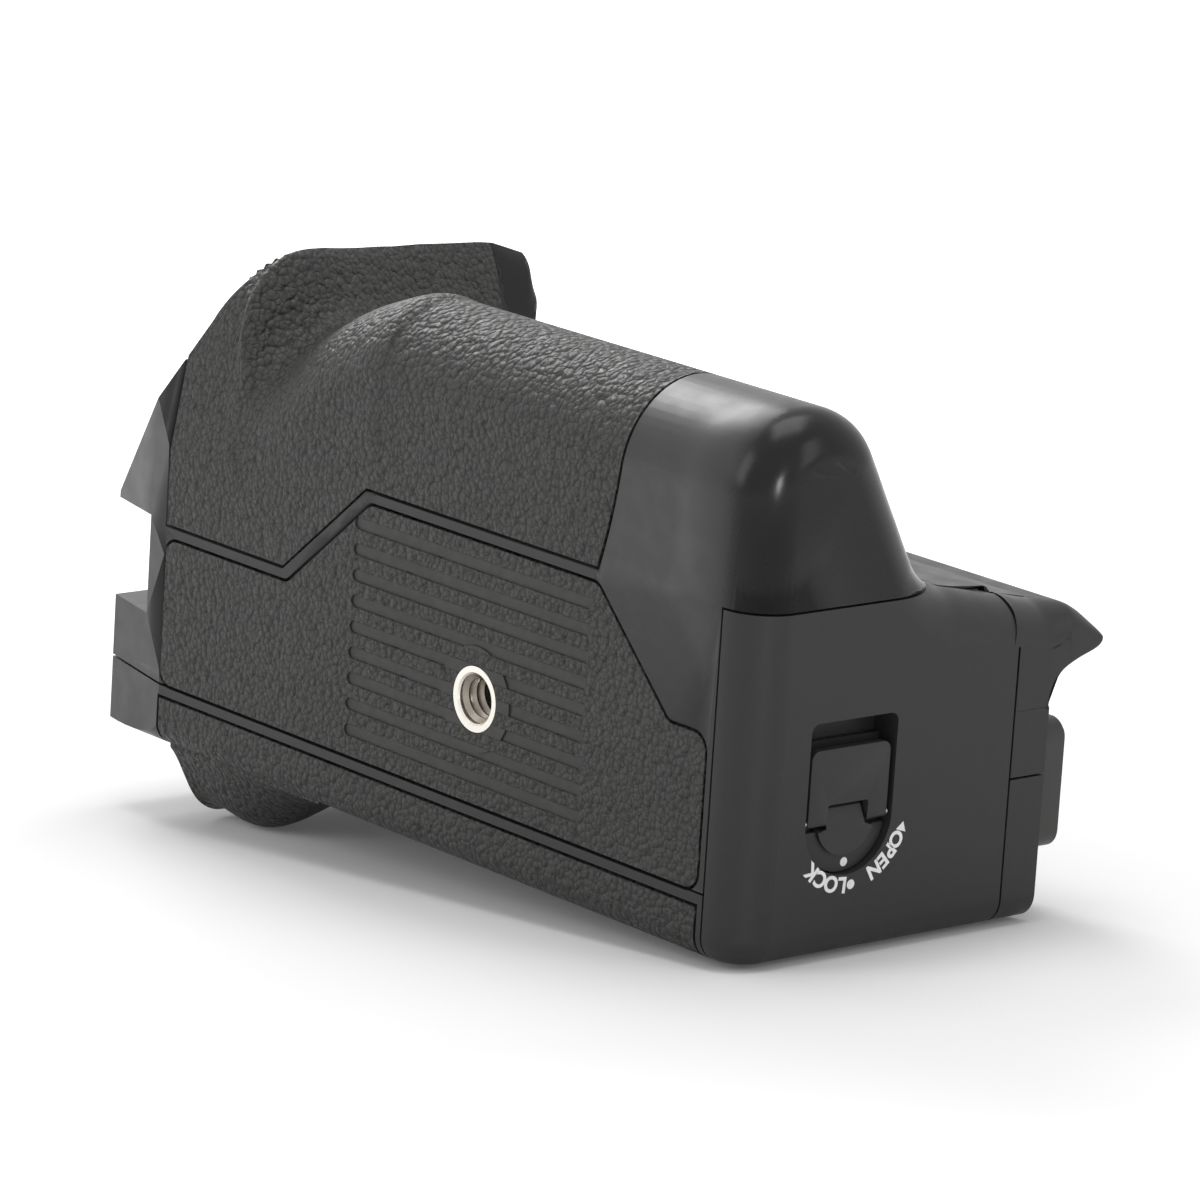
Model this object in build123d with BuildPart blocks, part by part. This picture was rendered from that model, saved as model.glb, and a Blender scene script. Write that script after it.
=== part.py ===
from build123d import *
import math
import os

# Camera battery grip, lying on its rear as it does beside a camera.
# X runs along the grip towards the battery door, +Y is the side that meets the camera and
# +Z is the front of the grip. The origin is the centre of the tripod socket's mouth.

# Driving sizes of the casing, in millimetres
mate_y = 50.2                # from the base face up to the camera's base
crest_z = 46.5               # top of the finger grip above the socket's axis
rear_z = -22.4               # flat rear face
end_x = 52.0                 # outer face of the battery door
tail_x = -81.5               # outer face of the shutter end
ridge_x = -56.0              # where the shutter slope meets the finger grip
grip_x = -22.0               # from here on the grip keeps one profile
parting_low_z = -13.7        # parting line of the two shells along the base
parting_high_z = -3.2        # parting line of the two shells beside the camera
parting_step_y = 10.0
rim_y = 44.4                 # rubber and door stop here, below the casing's rim
wall_t = 2.2
seam_gap = 0.3               # visible line between two panels
fit_gap = 0.1                # between parts that seat in each other
run_gap = 0.25               # between parts that move past each other
overrun = 5.0                # how far a cutter runs past what it cuts

# Corner radii of the casing
end_corner_r = 6.0
base_edge_r = 3.5

# Front lip that the camera's front edge sits behind
lip_y = 59.0
lip_top_z = 18.2
lip_foot_z = 6.2
lip_start_x = -43.0

# Shutter end: a slope for the shutter button, a bevel on the base and a strap slot
slope_deg = 54.7
slope_foot_z = 9.2
bevel_start_x = -66.2
bevel_rise = 3.5
strap_slot_low_z = -5.2
strap_slot_high_z = 8.3
strap_slot_l = 10.3
strap_slot_depth = 15.5
strap_bar_y = 8.6
strap_bar_in = 0.9
strap_bar_t = 2.4
strap_bar_w = 4.2
strap_bar_seat = 1.1
strap_bar_edge_r = 0.8

# Rubber covers
rubber_t = 1.2
groove_w = 0.45
rib_w = 1.2
plate_left_x = -66.0
plate_right_x = 44.3
plate_low_z = -13.5
plate_left_z = 6.2
plate_mid_z = 20.1
plate_right_z = 6.0
plate_step_x = -39.6
plate_top_left_x = -23.1
plate_top_right_x = 22.4
plate_slant_x = 37.2
plate_corner_r = 2.2
stripe_count = 9
stripe_pitch = 3.42
stripe_w = 1.6
stripe_depth = 0.25
stripe_left_x = -26.0
stripe_right_x = 21.5
stripe_top_z = 17.3
stripe_break = 2.6
front_rubber_right_x = 26.0
front_rubber_foot_x = 22.0
front_rubber_bow_z = 38.0
front_rubber_back_z = 24.5
rear_rubber_top_y = 21.0
thumb_rest_h = 10.1
thumb_left_x = -65.6
thumb_full_x = -55.0
thumb_end_x = -33.0
thumb_foot_z = -18.0
thumb_back_y = 33.0

# Battery door and bay
door_x = 45.6
door_top_z = 22.5
bay_wall_t = 0.8
bay_low_y = 5.4
bay_rear_z = -21.0
contact_block_h = 6.4
contact_block_out = 1.5
blade_count = 3
blade_pitch = 4.0
blade_w = 0.8
blade_h = 3.2

# Batteries and their tray
battery_l = 52.4
battery_t = 20.0
battery_h = 35.8
battery_corner_r = 2.0
tray_floor_t = 0.9
tray_wall_t = 1.4
tray_wall_h = 22.0
tray_travel = 58.0
seal_w = 1.0
seal_t = 0.8

# Key latch in the door
latch_y = 17.4
latch_z = -4.8
latch_recess_r = 7.1
latch_recess_top_z = 8.0
latch_recess_depth = 3.4
latch_scoop_z = 4.7
latch_scoop_depth = 1.0
latch_corner_r = 1.2
disk_r = 6.9
disk_t = 1.35
latch_shaft_r = 2.4
bolt_t = 1.5
bolt_w = 5.0
bolt_tip_y = 3.4
bolt_hub_r = 4.0
bolt_sweep_gap = 2.0
key_w = 12.9
key_t = 1.2
key_top_z = 4.4
key_inset = 0.3
key_notch_w = 6.6
key_notch_h = 0.8
key_web_in = 0.5
knuckle_r = 0.85
key_pin_r = 0.45
key_ear_w = 0.75

# Tripod socket and the metal plate that carries it
socket_r = 3.2
socket_len = 5.0
socket_neck_r = 4.25
socket_body_r = 6.0
socket_recess_r = 3.45
chassis_y = 2.2
chassis_t = 1.5
chassis_margin = 3.0

# Attachment screw and its wheel
screw_x = -29.0
screw_z = -9.6
screw_r = 3.175
screw_proud = 5.2
screw_foot = 1.0
screw_neck_r = 2.9
screw_tip = 0.6
screw_collar_r = 5.0
screw_collar_t = 0.5
wheel_r = 14.0
wheel_t = 6.6
wheel_y = 40.6
wheel_notch_count = 36
wheel_notch_w = 1.1

# Plate and pad that the camera stands on
plate_t = 1.6
mating_inset = 5.5             # from the shutter end to the plate
mating_right_x = 49.0
mating_rear_z = -19.6
mating_front_z = 5.0
mating_corner_r = 1.5
pad_t = 0.9
pad_border = 2.4
locating_pin_r = 1.5
locating_pin_h = 2.6
locating_pin_foot_r = 1.8
locating_pin_near_x = 8.0
locating_pin_far_x = -52.0
locating_pin_z = -7.3
case_screw_head_r = 1.9
case_screw_head_t = 0.6
case_screw_shaft_r = 0.9
case_screw_len = 4.0
case_screw_inset = 15.5
case_screw_right_x = 46.6
case_screw_rear_z = -17.0
case_screw_front_z = 2.6

# Terminal block and its cap
terminal_x = 35.6
terminal_z = -6.7
terminal_cap_l = 24.0
terminal_cap_w = 17.0
terminal_cap_t = 1.75
terminal_cap_r = 2.6
terminal_l = 17.0
terminal_w = 10.0
terminal_rise = 6.4
terminal_wall_t = 1.2
terminal_roof_t = 4.4
contact_count = 12
contact_w = 0.5
contact_l = 3.0
contact_low = 0.4

# Controls on the shutter slope, placed by their distance up the slope
shutter_s = 17.0
shutter_y = 27.0
shutter_r = 5.4
shutter_h = 2.4
shutter_travel = 1.2
shutter_stem_r = 1.6
ring_inner_r = 6.0
ring_outer_r = 8.8
ring_t = 1.8
lever_l = 3.4
lever_w = 4.0
front_dial_s = 35.9
front_dial_y = 14.6
front_dial_r = 6.5
front_dial_h = 2.7
front_dial_axle_r = 1.4
front_dial_axle_l = 7.0
dial_ridge_count = 28
dial_notch_w = 0.9
fn_s = 33.0
fn_y = 35.0
fn_r = 2.6
fn_h = 1.2
slope_room_low_s = 7.0
slope_room_high_s = 37.6
slope_room_top = 3.0
slope_room_depth = 9.2
slope_room_low_y = 7.0
slope_room_high_y = 40.0
slope_board_h = 7.0

# Controls on the rear face
rear_room_right_x = -44.5
rear_room_low_y = 22.0
rear_room_high_y = 44.6
rear_room_top_z = -8.0
rear_wall_t = 2.0
button_h = 1.2
button_travel = 0.6
button_flange_w = 0.5
button_flange_t = 0.7
button_stem_r = 1.0
switch_gap = 0.2
switch_side = 3.6
switch_h = 1.2
rear_dial_inset = 10.0
rear_dial_y = 40.4
rear_dial_r = 7.6
rear_dial_t = 4.8
rear_dial_proud = 1.4
rear_dial_axle_r = 1.2
rear_dial_seat = 2.0
rear_dial_rib_t = 1.8
rear_dial_rib_w = 5.0
af_on_inset = 8.5
af_on_y = 29.0
af_on_r = 3.2
ae_lock_x = -61.2
ae_lock_y = 40.8
ae_lock_r = 2.4
q_x = -47.5
q_y = 41.5
q_r = 2.0
stick_x = -54.2
stick_y = 38.6
stick_base_r = 4.1
stick_base_wall_t = 0.6
stick_pivot_in = 1.8
stick_ball_r = 1.7
stick_neck_r = 1.0
stick_cap_r = 2.4
stick_cap_h = 1.3
stick_cap_gap = 0.9
stick_gimbal_r = 3.3
stick_gimbal_in_r = 2.1
stick_gimbal_t = 1.2
stick_trunnion_r = 0.4
board_t = 1.2
board_z = -12.6

# Profiles of the finger grip as shares of mate_y and crest_z: foot, lean, crest arc (mid, end),
# slope end, hollow arc (mid, end) and the height at the rim
main_shares = ((0, 0.43), (0, 0.77), (0.1616, 0.9931), (0.4014, 0.8778), (0.5578, 0.5613),
               (0.619, 0.4935), (0.7012, 0.4602), (1, 0.3957))
near_full_shares = ((0, 0.43), (0, 0.7376), (0.1693, 0.972), (0.4203, 0.8516), (0.5677, 0.5548),
                    (0.6255, 0.4882), (0.7052, 0.458), (1, 0.3978))
shoulder_shares = ((0, 0.43), (0, 0.6817), (0.1813, 0.9312), (0.4462, 0.8108), (0.5876, 0.5634),
                   (0.6414, 0.5032), (0.7271, 0.4645), (1, 0.4129))
rise_shares = ((0, 0.42), (0, 0.5914), (0.2032, 0.8731), (0.4900, 0.7570), (0.6096, 0.572),
               (0.6733, 0.514), (0.7669, 0.4774), (1, 0.4516))
valley_shares = ((0, 0.40), (0.006, 0.4796), (0.2350, 0.813), (0.4382, 0.7978), (0.6773, 0.615),
                 (0.745, 0.568), (0.8367, 0.5376), (1, 0.5054))
horn_shares = ((0, 0.40), (0.032, 0.6344), (0.1335, 0.850), (0.3386, 0.9032), (0.6574, 0.8387),
               (0.757, 0.806), (0.8665, 0.7828), (1, 0.7398))
ridge_shares = ((0, 0.40), (0.0618, 0.785), (0.1235, 0.9376), (0.2789, 1.0), (0.6375, 0.9935),
                (0.7769, 0.9806), (0.8964, 0.9656), (1, 0.929))
station_shares = ((0, ridge_shares), (0.109, horn_shares), (0.285, valley_shares), (0.47, rise_shares),
                  (0.647, shoulder_shares), (0.80, near_full_shares), (1, main_shares))

# Profile of the lip past the camera's base, as shares of its reach and height
lip_shares = ((-0.25, 1.03), (0.0, 1.0), (0.42, 0.99), (0.59, 0.92), (0.77, 0.79), (0.943, 0.675), (1.0, 0.60),
              (0.852, 0.483), (0.545, 0.417), (0.28, 0.33), (0.16, 0.25), (0.06, 0.12), (0.017, 0.0), (-0.25, 0.0))

# Thumb rest: profile along Y as shares of its width and height, and how its height runs along X
thumb_shares = ((0.06, 0.02), (0.14, 0.45), (0.235, 0.88), (0.33, 1.0), (0.45, 0.90), (0.62, 0.56), (0.80, 0.20),
                (1.0, -0.12))
thumb_height_shares = ((0, 1.0), (0.30, 0.98), (0.48, 0.80), (0.66, 0.42), (0.82, 0.12), (1.0, -0.10))


def grip_section(x, shares):
    """Cross-section of the casing at one place along the grip."""
    foot, lean, crest_mid, crest_end, slope_end, hollow_mid, hollow_end, rim = [
        (mate_y * a, crest_z * b) for a, b in shares]
    with BuildSketch(Plane.YZ.offset(x)) as sketch:
        with BuildLine():
            Line((0, rear_z), foot)
            Line(foot, lean)
            ThreePointArc(lean, crest_mid, crest_end)
            Line(crest_end, slope_end)
            ThreePointArc(slope_end, hollow_mid, hollow_end)
            Line(hollow_end, rim)
            Line(rim, (mate_y, rear_z))
            Line((mate_y, rear_z), (0, rear_z))
        make_face()
    return sketch.sketch.face()


def block(low, high):
    """Plain block between two corners."""
    with BuildPart() as box:
        with Locations([((low[0] + high[0]) / 2, (low[1] + high[1]) / 2, (low[2] + high[2]) / 2)]):
            Box(high[0] - low[0], high[1] - low[1], high[2] - low[2])
    return box.part


def rod(plane, radius, length):
    """Round rod standing on a plane, as long as its length along the plane's normal."""
    with BuildPart() as cylinder:
        with BuildSketch(plane):
            Circle(radius)
        extrude(amount=length)
    return cylinder.part


# Planes that the controls are drawn on
slope_cos = math.cos(math.radians(slope_deg))
slope_sin = math.sin(math.radians(slope_deg))
slope = Plane(origin=(tail_x, 0, slope_foot_z), x_dir=(slope_cos, 0, slope_sin), z_dir=(-slope_sin, 0, slope_cos))


def on_slope(s, y, height=0):
    """Plane on the shutter slope, a given way up it and along it."""
    return Plane(origin=slope.from_local_coords((s, y, height)), x_dir=slope.x_dir, z_dir=slope.z_dir)


def on_rear(x, y, height=0):
    """Plane facing out of the rear, at a height above the rear face."""
    return Plane(origin=(x, y, rear_z - height), x_dir=(1, 0, 0), z_dir=(0, 0, -1))


def facing_camera(x, z, y):
    """Plane facing the camera at a height above the base."""
    return Plane(origin=(x, y, z), x_dir=(1, 0, 0), z_dir=(0, 1, 0))


# Places along the grip that follow the shutter end
strap_slot_x = tail_x + strap_slot_l
mating_left_x = tail_x + mating_inset
case_screw_left_x = tail_x + case_screw_inset
rear_dial_x = tail_x + rear_dial_inset
rear_room_left_x = rear_dial_x - rear_dial_r + run_gap
af_on_x = tail_x + af_on_inset

# Heights above the base, worked out through the stack of the bay
bay_inner_y = bay_low_y + bay_wall_t
tray_low_y = bay_inner_y + run_gap
battery_low_y = tray_low_y + tray_floor_t + fit_gap
battery_high_y = battery_low_y + battery_h
bay_high_y = battery_high_y + run_gap + bay_wall_t
plate_low_y = mate_y - pad_t + pad_t / 3 - plate_t
plate_high_y = plate_low_y + plate_t
pad_low_y = mate_y - pad_t
pad_right_x = terminal_x - terminal_cap_l / 2 - run_gap

# Places along the grip, worked inwards from the door
door_in_x = door_x + seam_gap
bulkhead_out_x = door_in_x - bolt_t - 2 * run_gap
battery_high_x = bulkhead_out_x - tray_wall_t - fit_gap
battery_low_x = battery_high_x - battery_l
tray_low_x = battery_low_x - fit_gap - tray_wall_t
bay_inner_x = tray_low_x - run_gap
bay_end_x = bay_inner_x - bay_wall_t

# Depths of the two batteries, worked forwards from the rear
bay_inner_z = bay_rear_z + bay_wall_t
tray_rear_z = bay_inner_z + run_gap
battery_mid_z = tray_rear_z + battery_t + fit_gap / 2
tray_front_z = tray_rear_z + 2 * battery_t + fit_gap
bay_front_z = tray_front_z + run_gap + bay_wall_t

# The outer form of the casing, cut into panels below
with BuildPart() as casing:
    loft([grip_section(ridge_x + (grip_x - ridge_x) * share, shares) for share, shares in station_shares])
    extrude(grip_section(grip_x, main_shares), amount=end_x - grip_x)
    extrude(grip_section(ridge_x, ridge_shares), amount=tail_x - ridge_x)
    end_edges = casing.edges().filter_by_position(Axis.X, end_x, end_x)
    fillet(end_edges.filter_by(lambda e: e.center().Z > rear_z + fit_gap and e.center().Y < mate_y - fit_gap),
           end_corner_r)
    fillet(casing.edges().filter_by(Axis.X).sort_by(Axis.Z)[:3].filter_by(lambda e: e.center().Y < fit_gap),
           base_edge_r)
    with BuildSketch(Plane.YZ.offset(lip_start_x)):
        lip_h = lip_top_z - lip_foot_z
        with BuildLine():
            Polyline(*[(mate_y + (lip_y - mate_y) * a, lip_foot_z + lip_h * b) for a, b in lip_shares], close=True)
        make_face()
    extrude(amount=end_x - lip_start_x)
    with BuildSketch(slope):
        Rectangle(3 * mate_y, 3 * mate_y)
    extrude(amount=crest_z, mode=Mode.SUBTRACT)
    with BuildSketch(Plane.XY.offset(rear_z - overrun)):
        with BuildLine():
            Polyline((bevel_start_x, 0), (tail_x, bevel_rise), (tail_x - overrun, bevel_rise), (tail_x - overrun, -overrun),
                     (bevel_start_x, -overrun), close=True)
        make_face()
    extrude(amount=crest_z - rear_z + 2 * overrun, mode=Mode.SUBTRACT)

# Halves of the casing on each side of the parting line
front_outline = [(-overrun, parting_low_z), (parting_step_y, parting_low_z), (parting_step_y, parting_high_z),
                 (lip_y + overrun, parting_high_z)]


def half(sign):
    """Everything in front of the parting line (sign 1) or behind it (sign -1)."""
    shift = sign * seam_gap / 2
    far_z = sign * (crest_z + overrun)
    with BuildPart() as side:
        with BuildSketch(Plane.YZ.offset(tail_x - overrun)):
            with BuildLine():
                Polyline(*[(y, z + shift) for y, z in front_outline], (lip_y + overrun, far_z), (-overrun, far_z),
                         close=True)
            make_face()
        extrude(amount=end_x - tail_x + 2 * overrun)
    return side.part


# Outlines of the rubber covers, drawn in X and Z
rib_step = rib_w + 2 * groove_w
plate_outline = [(plate_left_x, plate_low_z), (plate_left_x, plate_left_z), (plate_step_x, plate_left_z),
                 (plate_top_left_x, plate_mid_z), (plate_top_right_x, plate_mid_z), (plate_slant_x, plate_right_z),
                 (plate_right_x, plate_right_z), (plate_right_x, plate_low_z)]
front_outline_low = [(plate_left_x, plate_left_z + rib_step), (plate_step_x - rib_step / 2, plate_left_z + rib_step),
                     (plate_top_left_x - rib_step / 2, plate_mid_z + rib_step),
                     (front_rubber_foot_x, plate_mid_z + rib_step)]


def panel(outline, corner_r, y_low, y_high, grow=0):
    """Rounded prism through the base, its outline in X and Z grown by a margin."""
    with BuildPart() as prism:
        with BuildSketch(Plane.XZ.offset(-y_low)) as face:
            with BuildLine():
                Polyline(*outline, close=True)
            make_face()
            fillet(face.vertices(), corner_r)
            if grow:
                offset(amount=grow)
        extrude(amount=-(y_high - y_low))
    return prism.part


def front_zone(grow):
    """Space of the front rubber seen along Y, grown by a margin on its near edges."""
    with BuildPart() as zone:
        with BuildSketch(Plane.XZ.offset(overrun)) as face:
            with BuildLine():
                low = [(x - (grow if i == 0 else 0), z - grow) for i, (x, z) in enumerate(front_outline_low)]
                foot = (front_rubber_foot_x + grow, low.pop()[1])
                head_point = (front_rubber_right_x + grow, crest_z + overrun)
                bow = (front_rubber_right_x + grow - groove_w, front_rubber_bow_z)
                Polyline(head_point, (plate_left_x - grow, crest_z + overrun), *low, foot)
                ThreePointArc(foot, bow, head_point)
            make_face()
        extrude(amount=-(rim_y + overrun))
        with Locations((0, front_rubber_back_z + mate_y / 2, 0)):
            Box(3 * mate_y, mate_y, 2 * front_rubber_back_z, mode=Mode.SUBTRACT)
    return zone.part


# Stiff core under the front rubber, a little inside the casing's form
main_core_shares = ((0.026, 0.39), (0.026, 0.753), (0.11, 0.914), (0.289, 0.925), (0.378, 0.839), (0.534, 0.52),
                    (0.681, 0.428), (1, 0.361))
valley_core_shares = ((0.026, 0.36), (0.05, 0.45), (0.16, 0.65), (0.259, 0.73), (0.408, 0.735), (0.647, 0.56),
                      (0.817, 0.482), (1, 0.45))
horn_core_shares = ((0.026, 0.387), (0.068, 0.6), (0.165, 0.78), (0.339, 0.845), (0.637, 0.785), (0.737, 0.75),
                    (0.857, 0.725), (1, 0.685))
ridge_core_shares = ((0.026, 0.387), (0.088, 0.742), (0.155, 0.888), (0.289, 0.952), (0.618, 0.946),
                     (0.737, 0.936), (0.886, 0.924), (1, 0.88))
core_station_shares = ((0, ridge_core_shares), (0.109, horn_core_shares), (0.285, valley_core_shares),
                       (1, main_core_shares))


def core_section(x, shares):
    """Cross-section of the core under the front rubber."""
    points = [(mate_y * a, crest_z * b) for a, b in shares]
    with BuildSketch(Plane.YZ.offset(x)) as sketch:
        with BuildLine():
            Polyline((points[0][0], rear_z - overrun), *points, (mate_y, rear_z - overrun), close=True)
        make_face()
    return sketch.sketch.face()


with BuildPart() as core:
    loft([core_section(ridge_x + (grip_x - ridge_x) * share, shares) for share, shares in core_station_shares],
         ruled=True)
    extrude(core_section(grip_x, main_core_shares), amount=end_x - grip_x)
    extrude(core_section(ridge_x, ridge_core_shares), amount=tail_x - ridge_x)

# Thumb rest on the rear, a rubber-covered swelling
thumb_length = thumb_end_x - thumb_left_x


def thumb_section(share, height_share):
    """Cross-section of the thumb rest at a share of its length."""
    height = thumb_rest_h * height_share
    points = [(thumb_back_y * a, rear_z - height * b) for a, b in thumb_shares]
    with BuildSketch(Plane.YZ.offset(thumb_left_x + thumb_length * share)) as sketch:
        with BuildLine():
            Spline(*points)
            Polyline(points[-1], (thumb_back_y, rear_z + base_edge_r), (points[0][0], rear_z + base_edge_r), points[0])
        make_face()
    return sketch.sketch.face()


with BuildPart() as thumb:
    loft([thumb_section(share, height) for share, height in thumb_height_shares])

rear_zone_low = [(plate_left_x, plate_low_z - rib_step), (plate_right_x, plate_low_z - rib_step),
                 (plate_right_x, rear_z - 2 * thumb_rest_h), (plate_left_x, rear_z - 2 * thumb_rest_h)]


def rear_zone(grow):
    """Space of the rear rubber, grown by a margin on its near edge."""
    (left, high), (right, _), _, (_, low) = rear_zone_low
    with BuildPart() as zone:
        add(block((left - grow, -overrun, low), (right + grow, rear_rubber_top_y + grow, high + grow)))
        add(block((left - grow, 0, low), (thumb_end_x + grow, thumb_back_y + grow, rear_z + rubber_t)))
        core_block = block((tail_x, rubber_t, rear_z + rubber_t), (end_x, mate_y, crest_z))
        inner_edge = core_block.edges().filter_by(Axis.X).sort_by(lambda e: e.center().Y + e.center().Z)[0]
        add(core_block.fillet(base_edge_r - rubber_t, [inner_edge]), mode=Mode.SUBTRACT)
    return zone.part


# Rooms inside the casing
bay_room = block((bay_end_x - fit_gap, bay_low_y - fit_gap, bay_rear_z - fit_gap),
                 (door_x + overrun, bay_high_y + fit_gap, bay_front_z + fit_gap))
wheel_axis = facing_camera(screw_x, screw_z, wheel_y - run_gap)
wheel_room = rod(wheel_axis, wheel_r + 2 * run_gap, plate_low_y - wheel_y + run_gap)
door_zone = block((door_x, -overrun, rear_z - overrun), (end_x + overrun, rim_y, door_top_z))
electronics_room = block((bay_end_x + 2 * wall_t, bay_high_y, mating_rear_z + 2 * wall_t),
                         (door_x, plate_low_y + fit_gap, mating_front_z - 2 * wall_t))
plate_room = block((mating_left_x - fit_gap, plate_low_y, mating_rear_z - fit_gap),
                   (mating_right_x + fit_gap, mate_y + overrun, mating_front_z + fit_gap))
chassis_room = panel(plate_outline, plate_corner_r, chassis_y - fit_gap, bay_low_y, -chassis_margin + fit_gap)
rear_room = block((rear_room_left_x, rear_room_low_y, rear_z + rear_wall_t),
                  (rear_room_right_x, rear_room_high_y, rear_room_top_z))
with BuildPart() as slope_space:
    with BuildSketch(slope.offset(-slope_room_depth)):
        with Locations(((slope_room_low_s + slope_room_high_s) / 2, (slope_room_low_y + slope_room_high_y) / 2)):
            Rectangle(slope_room_high_s - slope_room_low_s, slope_room_high_y - slope_room_low_y)
    extrude(amount=slope_room_depth - slope_room_top)
contact_low_y = battery_high_y - contact_block_h
contact_room = block((bay_end_x - contact_block_out - fit_gap, contact_low_y, tray_rear_z + wall_t),
                     (bay_inner_x + overrun, battery_high_y, tray_front_z - wall_t))
strap_slot = block((tail_x - overrun, -overrun, strap_slot_low_z), (strap_slot_x, strap_slot_depth, strap_slot_high_z))
bar_low = (tail_x + strap_bar_in, strap_bar_y, strap_slot_low_z - strap_bar_seat)
bar_high = (bar_low[0] + strap_bar_w, strap_bar_y + strap_bar_t, strap_slot_high_z + strap_bar_seat)
bar_room = block([v - fit_gap for v in bar_low], [v + fit_gap for v in bar_high])

# Places of the key latch in the door
latch_axis = Plane(origin=(end_x, latch_y, latch_z), x_dir=(0, 1, 0), z_dir=(1, 0, 0))
recess_floor_x = end_x - latch_recess_depth
bolt_x = door_in_x - run_gap - bolt_t
disk_low_x = recess_floor_x + fit_gap / 2
disk_high_x = disk_low_x + disk_t
key_high_x = end_x - key_inset
hinge_x = key_high_x - key_t / 2
knuckle_out = key_w / 2 - key_web_in
ear_in = knuckle_out + fit_gap
ear_out = ear_in + key_ear_w
bolt_room = block((bulkhead_out_x, bolt_tip_y - run_gap, latch_z - bolt_w / 2 - run_gap),
                  (door_x + overrun, bay_inner_y + overrun, latch_z + bolt_w / 2 + run_gap))

# Places of the controls on the rear face and on the slope
rear_dial_z = rear_z + rear_dial_r - rear_dial_proud
dial_low_y = rear_dial_y - rear_dial_t / 2
dial_slot = rod(facing_camera(rear_dial_x, rear_dial_z, dial_low_y - run_gap), rear_dial_r + run_gap,
                rear_dial_t + 2 * run_gap)
rear_dial_axis = facing_camera(rear_dial_x, rear_dial_z, dial_low_y - run_gap - rear_dial_rib_t)
rear_dial_axle_l = rear_room_high_y + rear_dial_seat - rear_dial_axis.origin.Y
rear_switch_depth = board_z - switch_h - rear_z
slope_switch_depth = slope_board_h - switch_h
rear_places = ((af_on_x, af_on_y), (ae_lock_x, ae_lock_y), (q_x, q_y))
slope_places = ((shutter_s, shutter_y), (fn_s, fn_y))
case_screw_places = [(x, z) for x in (case_screw_left_x, case_screw_right_x) for z in (case_screw_rear_z, case_screw_front_z)]
pin_places = ((locating_pin_near_x, locating_pin_z), (locating_pin_far_x, locating_pin_z))
stick_pivot_z = rear_z + stick_pivot_in


def slope_bore(s, y, radius):
    """Bore through the wall of the shutter slope into the room behind it."""
    return rod(on_slope(s, y, overrun), radius, -overrun - slope_room_top - fit_gap)


def rear_bore(x, y, radius):
    """Bore through the rear wall into the room behind it."""
    return rod(on_rear(x, y, overrun), radius, -overrun - rear_wall_t - fit_gap)


with BuildPart() as holes:
    for room in (bay_room, wheel_room, door_zone, electronics_room, plate_room, chassis_room, rear_room,
                 slope_space.part, contact_room, strap_slot, bolt_room, dial_slot, bar_room):
        add(room)
    add(rear_bore(af_on_x, af_on_y, af_on_r + run_gap))
    add(rear_bore(ae_lock_x, ae_lock_y, ae_lock_r + run_gap))
    add(rear_bore(q_x, q_y, q_r + run_gap))
    add(rear_bore(stick_x, stick_y, stick_base_r + fit_gap))
    add(slope_bore(shutter_s, shutter_y, shutter_r + run_gap))
    add(slope_bore(fn_s, fn_y, fn_r + run_gap))
    add(slope_bore(front_dial_s, front_dial_y, front_dial_axle_r + fit_gap))
    add(rod(rear_dial_axis, rear_dial_axle_r + fit_gap / 2, rear_dial_axle_l))
    add(rod(facing_camera(0, 0, -overrun), socket_neck_r + fit_gap, bay_low_y + overrun))
    for x, z in case_screw_places:
        add(rod(facing_camera(x, z, plate_high_y), case_screw_shaft_r + fit_gap,
                -case_screw_head_t - case_screw_len - fit_gap))

# Casing shells
with BuildPart() as front_shell:
    add(casing.part)
    add(half(1), mode=Mode.INTERSECT)
    add(front_zone(groove_w) - core.part, mode=Mode.SUBTRACT)
    add(panel(plate_outline, plate_corner_r, -overrun, rubber_t, groove_w), mode=Mode.SUBTRACT)
    add(holes.part, mode=Mode.SUBTRACT)

with BuildPart() as rear_shell:
    add(casing.part)
    add(half(-1), mode=Mode.INTERSECT)
    add(rear_zone(groove_w), mode=Mode.SUBTRACT)
    add(panel(plate_outline, plate_corner_r, -overrun, rubber_t, groove_w), mode=Mode.SUBTRACT)
    add(holes.part, mode=Mode.SUBTRACT)
    rib_low_y = rear_dial_axis.origin.Y
    rib_reach = rear_dial_rib_w / 2
    add(block((rear_dial_x - rib_reach, rib_low_y, rear_z + rear_wall_t),
              (rear_dial_x + rib_reach, rib_low_y + rear_dial_rib_t, rear_dial_z + rib_reach)))
    add(rod(rear_dial_axis, rear_dial_axle_r + fit_gap / 2, rear_dial_axle_l), mode=Mode.SUBTRACT)

# Rubber covers
with BuildPart() as front_rubber:
    add(casing.part)
    add(front_zone(0) - core.part, mode=Mode.INTERSECT)

with BuildPart() as rear_rubber:
    add(casing.part)
    add(thumb.part)
    add(rear_zone(0), mode=Mode.INTERSECT)

with BuildPart() as bottom_rubber:
    add(panel(plate_outline, plate_corner_r, 0, rubber_t))
    with BuildSketch(Plane.XZ):
        with Locations([((stripe_left_x + stripe_right_x) / 2, stripe_top_z - i * stripe_pitch)
                        for i in range(stripe_count)]):
            SlotOverall(stripe_right_x - stripe_left_x, stripe_w)
        Circle(socket_neck_r + stripe_break, mode=Mode.SUBTRACT)
    extrude(amount=-stripe_depth, mode=Mode.SUBTRACT)
    add(rod(facing_camera(0, 0, -overrun), socket_neck_r + fit_gap, 2 * overrun), mode=Mode.SUBTRACT)

# Base: metal plate and the tripod socket in it
with BuildPart() as chassis_plate:
    add(panel(plate_outline, plate_corner_r, chassis_y, chassis_y + chassis_t, -chassis_margin))
    add(rod(facing_camera(0, 0, 0), socket_neck_r + fit_gap, bay_low_y), mode=Mode.SUBTRACT)

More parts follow.
